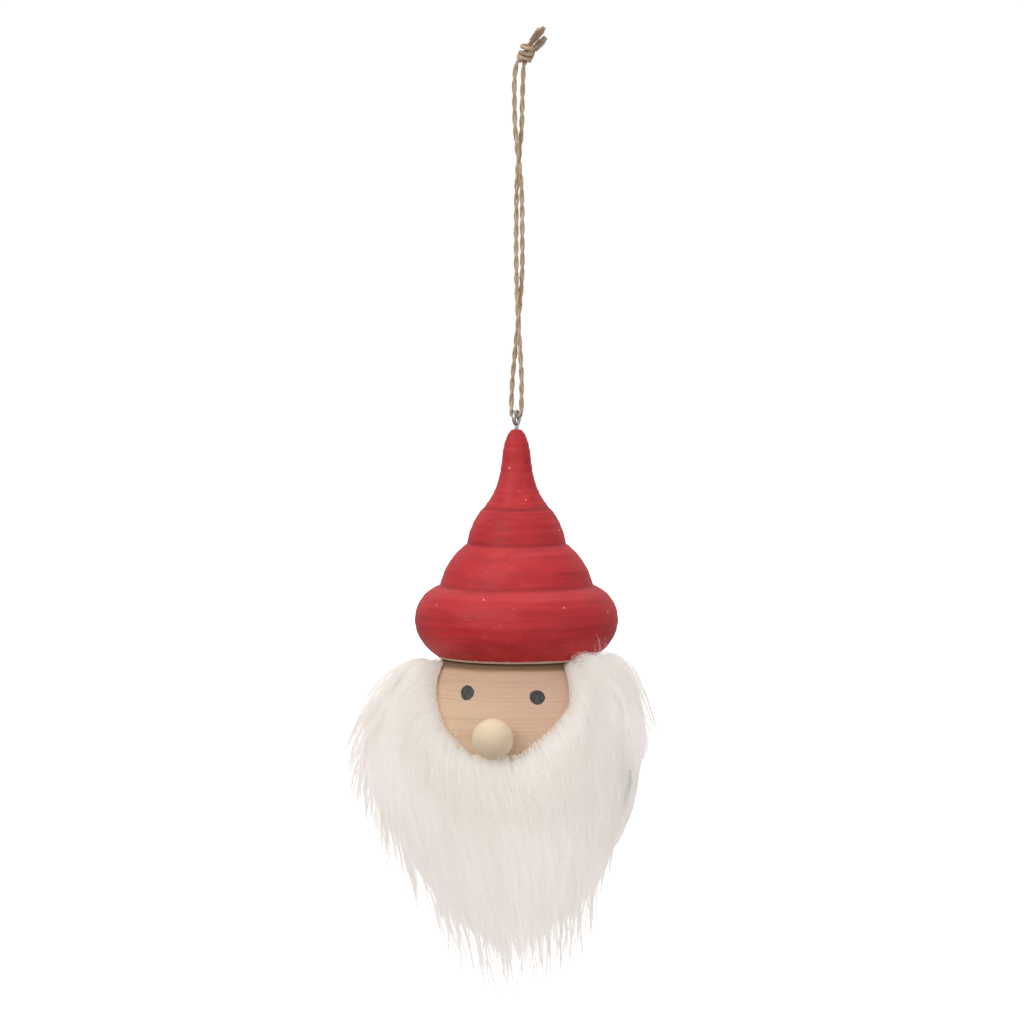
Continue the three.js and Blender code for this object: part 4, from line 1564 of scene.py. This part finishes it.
    def _fluff(self, grower: StrandGrower, name: str, skin: tuple, seed: int, **sizes: Any) -> bpy.types.Object:
        """Grows one piece of the pile.

        Args:
            grower: What grows it.
            name: The piece's name.
            skin: Points, faces and the three offsets of what it grows from.
            seed: Its seed.
            sizes: Its sizes, where they aren't the pile's usual ones.

        Returns:
            The piece.
        """
        usual = dict(
            density=self.density, thickness=self.strand_thickness * MM, lock_density=20000.0, wisp_density=500000.0,
            lock_pull=0.14, wisp_pull=0.34, stray=4.2 * MM, curl=2.6 * MM, shortest=0.45, longest=1.02, wander=3.2 * MM,
            wave=5.0 * MM, clear_radius=(HEAD_RADIUS + 1.2) * MM, clear_depth=9.0 * MM,
            clear_middle=(0.0, 0.0, HEAD_MIDDLE * MM), seed=seed,
        )
        scalp = grower.scalp("scalp_" + name, *skin)
        return grower.grow(name, scalp, FIBRE, **(usual | sizes))

    @staticmethod
    def _ways(points: np.ndarray, bends: Sequence[np.ndarray]) -> tuple[np.ndarray, list[np.ndarray]]:
        """The direction away from the head's middle at each point, and those of the strands' three offsets."""
        out = points - np.array([0, 0, HEAD_MIDDLE])
        out /= np.linalg.norm(out, axis=1)[:, None]
        return out, [bend / np.linalg.norm(bend, axis=1)[:, None] for bend in bends]

    def _edge(self, grower: StrandGrower, first: int, last: int, name: str) -> bpy.types.Object:
        """The short fluff that stands up along the face opening.

        Args:
            grower: What grows it.
            first: The rib where it starts.
            last: The rib where it ends.
            name: The piece's name.

        Returns:
            The piece.
        """
        points, faces, bends = self._grid(first, last, 0.5, 0.0, 0.12)
        out, ways = self._ways(points, bends)
        offsets = [out * 2.6 - ways[2] * 4.2, out * 6.0 + ways[1] * 0.6, out * 5.5 + ways[2] * 7.5]
        return self._fluff(
            grower, name, (points, faces, offsets), 77 + first, density=1.05e7, thickness=0.085 * MM,
            lock_density=60000.0, wisp_density=900000.0, wisp_pull=0.30, stray=2.4 * MM, curl=1.2 * MM, shortest=0.4,
            wander=1.5 * MM, wave=2.0 * MM, clear_radius=(HEAD_RADIUS + 0.6) * MM, clear_depth=2.0 * MM,
        )

    def _back_edge(self, grower: StrandGrower) -> bpy.types.Object:
        """The short fluff that hides the cloth's outer edge on the right cheek.

        Args:
            grower: What grows it.

        Returns:
            The piece.
        """
        points, faces, bends = self._grid(6, len(self.ribs) - 1, 0.5, 0.78, 1.0)
        out, ways = self._ways(points, bends)
        down = np.array([0.0, 0.0, -1.0])
        offsets = [
            out * 1.6 + ways[0] * 0.8, out * 2.6 + ways[1] * 3.0 + down * 1.5, out * 1.4 + ways[2] * 6.0 + down * 3.5
        ]
        return self._fluff(
            grower, "fur_back_edge", (points, faces, offsets), 91, density=4.4e6, thickness=0.11 * MM,
            lock_density=40000.0, wisp_density=700000.0, wisp_pull=0.20, stray=1.8 * MM, curl=1.2 * MM, shortest=0.75,
            wander=1.5 * MM, wave=2.0 * MM, clear_radius=(HEAD_RADIUS + 0.8) * MM, clear_depth=1.6 * MM,
        )

    def _wisps(
        self, grower: StrandGrower, first: int, last: int, name: str, fall: float, wander: float = 6.0
    ) -> bpy.types.Object:
        """The long thin tufts that hang out of the pile and past its outline.

        Args:
            grower: What grows them.
            first: The rib where they start.
            last: The rib where they end.
            name: The piece's name.
            fall: How far their tips drop below the pile's, in mm.
            wander: How far they stray, in mm.

        Returns:
            The piece.
        """
        points, faces, offsets = self._grid(first, last, 1.4, 0.25)
        down = np.array([0.0, 0.0, -1.0])
        offsets = [offsets[0], offsets[1] + down * fall * 0.3, offsets[2] + down * fall]
        return self._fluff(
            grower, name, (points, faces, offsets), 300 + first, density=1.7e6, thickness=0.085 * MM,
            lock_density=0.0, wisp_density=120000.0, lock_pull=0.0, wisp_pull=1.15, stray=1.8 * MM, curl=2.4 * MM,
            shortest=0.72, longest=1.14, wander=wander * MM,
        )

    def _loose_hairs(self, grower: StrandGrower) -> bpy.types.Object:
        """The few hairs that lie on the face and on the hat's brim.

        Args:
            grower: What grows them.

        Returns:
            The piece.
        """
        points, faces, bends = self._grid(0, len(self.ribs) - 1, 0.5, 0.0, 0.04)
        out, ways = self._ways(points, bends)
        offsets = [out * 1.8 - ways[2] * 2.0, out * 3.0 - ways[2] * 5.0, out * 1.2 - ways[2] * 8.0]
        return self._fluff(
            grower, "fur_loose_hairs", (points, faces, offsets), 401, **UNGATHERED, density=0.42e6,
            thickness=0.06 * MM, stray=3.0 * MM, curl=1.5 * MM, shortest=0.2,
            clear_radius=(HEAD_RADIUS + 0.15) * MM, clear_depth=1.0 * MM,
        )

    def _brim_hairs(self, grower: StrandGrower) -> bpy.types.Object:
        """The few hairs of the right temple that lie up over the hat's brim.

        Args:
            grower: What grows them.

        Returns:
            The piece.
        """
        end = len(self.ribs) - 1
        points, faces, _ = self._grid(end - 1, end, 1.4, 0.25, 0.75)
        goals = ((25, 19, 4), (28, 16, 9), (24, 19.5, 13))  # as seen from the front
        offsets = [seen_to_row(np.tile(goal, (len(points), 1))) - points for goal in goals]
        return self._fluff(
            grower, "fur_brim_hairs", (points, faces, offsets), 402, **UNGATHERED, density=0.11e6,
            thickness=0.06 * MM, stray=9.0 * MM, curl=5.0 * MM, shortest=0.5, clear_depth=0.0,
        )

    @staticmethod
    def _roots(edges: np.ndarray) -> np.ndarray:
        """Where each rib's three strands are rooted, in mm."""
        middle = (edges[:, :2] + edges[:, 2:]) / 2
        rows = [on_head(e[:, 0], e[:, 1], 1.4) for e in (edges[:, :2], middle, edges[:, 2:])]
        return np.stack(rows, 1)

    def _cloth(self) -> bpy.types.Object:
        """The knitted cloth."""
        points, faces, _ = self._grid(0, len(self.ribs) - 1, self.cloth_out, 0.035)
        mesh = mesh_of("beard_cloth", points, [f[::-1] for f in faces])
        layer = mesh.uv_layers.new(name="cloth")
        loops_wide, loops_high = 1.6, 2.4  # knitted loops in one face of the grid
        for loop in mesh.loops:
            column, row = divmod(loop.vertex_index, self.rows + 1)
            layer.data[loop.index].uv = (column * loops_wide, row * loops_high)
        cloth = place("beard_cloth", mesh)
        wall = cloth.modifiers.new("thickness", "SOLIDIFY")
        wall.thickness, wall.offset = self.cloth_thickness * MM, 0.0
        BACKING.dress(cloth)
        return cloth

    def build(self, grower: StrandGrower) -> None:
        """Makes the cloth and the pile.

        Args:
            grower: What grows the pile.
        """
        cloth = self._cloth()
        settle(cloth, Body.ORNAMENT, ["beard_backing"])
        piles = []
        for number, (name, (first, last, depth, node)) in enumerate(self.locks.items()):
            parts = self._grid(first, last, 1.4)
            pile = self._fluff(grower, "fur_" + name, parts, 100 + number, clear_depth=depth * MM)
            settle(pile, Body.ORNAMENT, [node] if node else [])
            piles.append(pile)
        end, middle = len(self.ribs) - 1, 4
        piles += [
            self._edge(grower, 0, middle, "fur_edge_left"), self._edge(grower, middle, end, "fur_edge_right"),
            self._wisps(grower, 0, 3, "fur_wisps_left", 6.0), self._wisps(grower, 3, 6, "fur_wisps_chin", 16.0),
            self._wisps(grower, 6, end, "fur_wisps_right", 4.0, 3.0), self._loose_hairs(grower),
            self._brim_hairs(grower), self._back_edge(grower),
        ]
        for pile in piles[len(self.locks):]:
            settle(pile, Body.ORNAMENT)


# ---------------------------------------------------------------- studio


@dataclass
class Studio:
    """The camera, the white paper and the soft lights."""

    aim: tuple = (0.0, 0.0, -131.7)
    aim_right: float = -1.32
    distance: float = 1.2
    rise: float = math.radians(3.5)
    view_angle: float = math.radians(14.3)
    below: float = 0.36  # how bright the room is under the ornament and over it
    above: float = 0.68
    backdrop: float = 1.02  # how bright the room looks behind it
    floor_height: float = -420.0
    floor_side: float = 12000.0
    lamps: Sequence = (  # name, place in mm, side in metres, watts, tint
        ("key", (-700, -1100, 650), 1.0, 9.5, (1.0, 0.98, 0.96)),
        ("fill", (900, -900, 50), 1.1, 3.0, (0.97, 0.98, 1.0)),
        ("top", (0, 200, 900), 0.9, 4.0, (1.0, 1.0, 1.0)),
    )
    lamps_face: tuple = (0, 0, -190)

    def build_camera(self) -> None:
        """Makes the camera."""
        c, s = math.cos(VIEW_TURN), math.sin(VIEW_TURN)
        right = Vector((c, s, 0))
        back = Vector((s * math.cos(self.rise), -c * math.cos(self.rise), math.sin(self.rise)))
        aim = Vector(self.aim) * MM + right * self.aim_right * MM
        data = bpy.data.cameras.new("camera")
        data.sensor_width = 36.0
        data.lens = 18.0 / math.tan(self.view_angle / 2)
        camera = bpy.data.objects.new("camera", data)
        camera.location = aim + back * self.distance
        camera.rotation_mode = "QUATERNION"
        camera.rotation_quaternion = (-back).to_track_quat("-Z", "Y")
        bpy.context.scene.collection.objects.link(camera)
        bpy.context.scene.camera = camera

    def _light(self, name: str, place_mm: tuple, size: float, power: float, tint: tuple) -> None:
        """Makes a soft light.

        Args:
            name: Its name.
            place_mm: Where it stands, in mm.
            size: Its side, in metres.
            power: Its power, in watts.
            tint: Its colour.
        """
        data = bpy.data.lights.new(name, "AREA")
        data.size, data.energy, data.color = size, power, tint
        lamp = bpy.data.objects.new(name, data)
        lamp.location = Vector(place_mm) * MM
        lamp.rotation_mode = "QUATERNION"
        lamp.rotation_quaternion = (Vector(self.lamps_face) * MM - lamp.location).to_track_quat("-Z", "Y")
        bpy.context.scene.collection.objects.link(lamp)

    def build_room(self) -> None:
        """Makes the floor, the white surroundings and the lights."""
        half = self.floor_side / 2
        corners = [(x * half, y * half, self.floor_height) for x, y in ((-1, -1), (1, -1), (1, 1), (-1, 1))]
        floor = place("floor", mesh_of("floor", corners, [(0, 1, 2, 3)]))
        PAPER.dress(floor)
        floor.visible_diffuse = False
        floor.visible_glossy = False
        world = bpy.data.worlds.new("white_room")
        bpy.context.scene.world = world
        world.use_nodes = True
        tree = Tree(world.node_tree)
        seen = tree.value("ShaderNodeLightPath", {}, {}, "Is Camera Ray")
        _, _, rise = tree.arrow("ShaderNodeTexCoord", {}, {}, "Generated").parts()
        room = rise.between(-0.5, 0.7, self.below, self.above)
        strength = seen * self.backdrop + (1.0 - seen) * room
        background = world.node_tree.nodes["Background"]
        background.inputs["Color"].default_value = (1.0, 1.0, 1.0, 1.0)
        tree.give(background.inputs["Strength"], strength)
        for lamp in self.lamps:
            self._light(*lamp)
        scene = bpy.context.scene
        scene.view_settings.view_transform = "Standard"
        scene.view_settings.look = "None"
        scene.cycles.max_bounces = 16
        scene.cycles.diffuse_bounces = 10
        scene.cycles.transmission_bounces = 10


def main() -> None:
    """Builds the whole ornament and its studio."""
    logging.basicConfig(level=logging.INFO, format="%(name)s: %(message)s")
    studio = Studio()
    studio.build_camera()
    grower = StrandGrower()
    HangingLoop().build(grower)
    ScrewEye().build()
    Hat().build()
    Head().build()
    Beard().build(grower)
    studio.build_room()


if __name__ == "__main__":
    main()
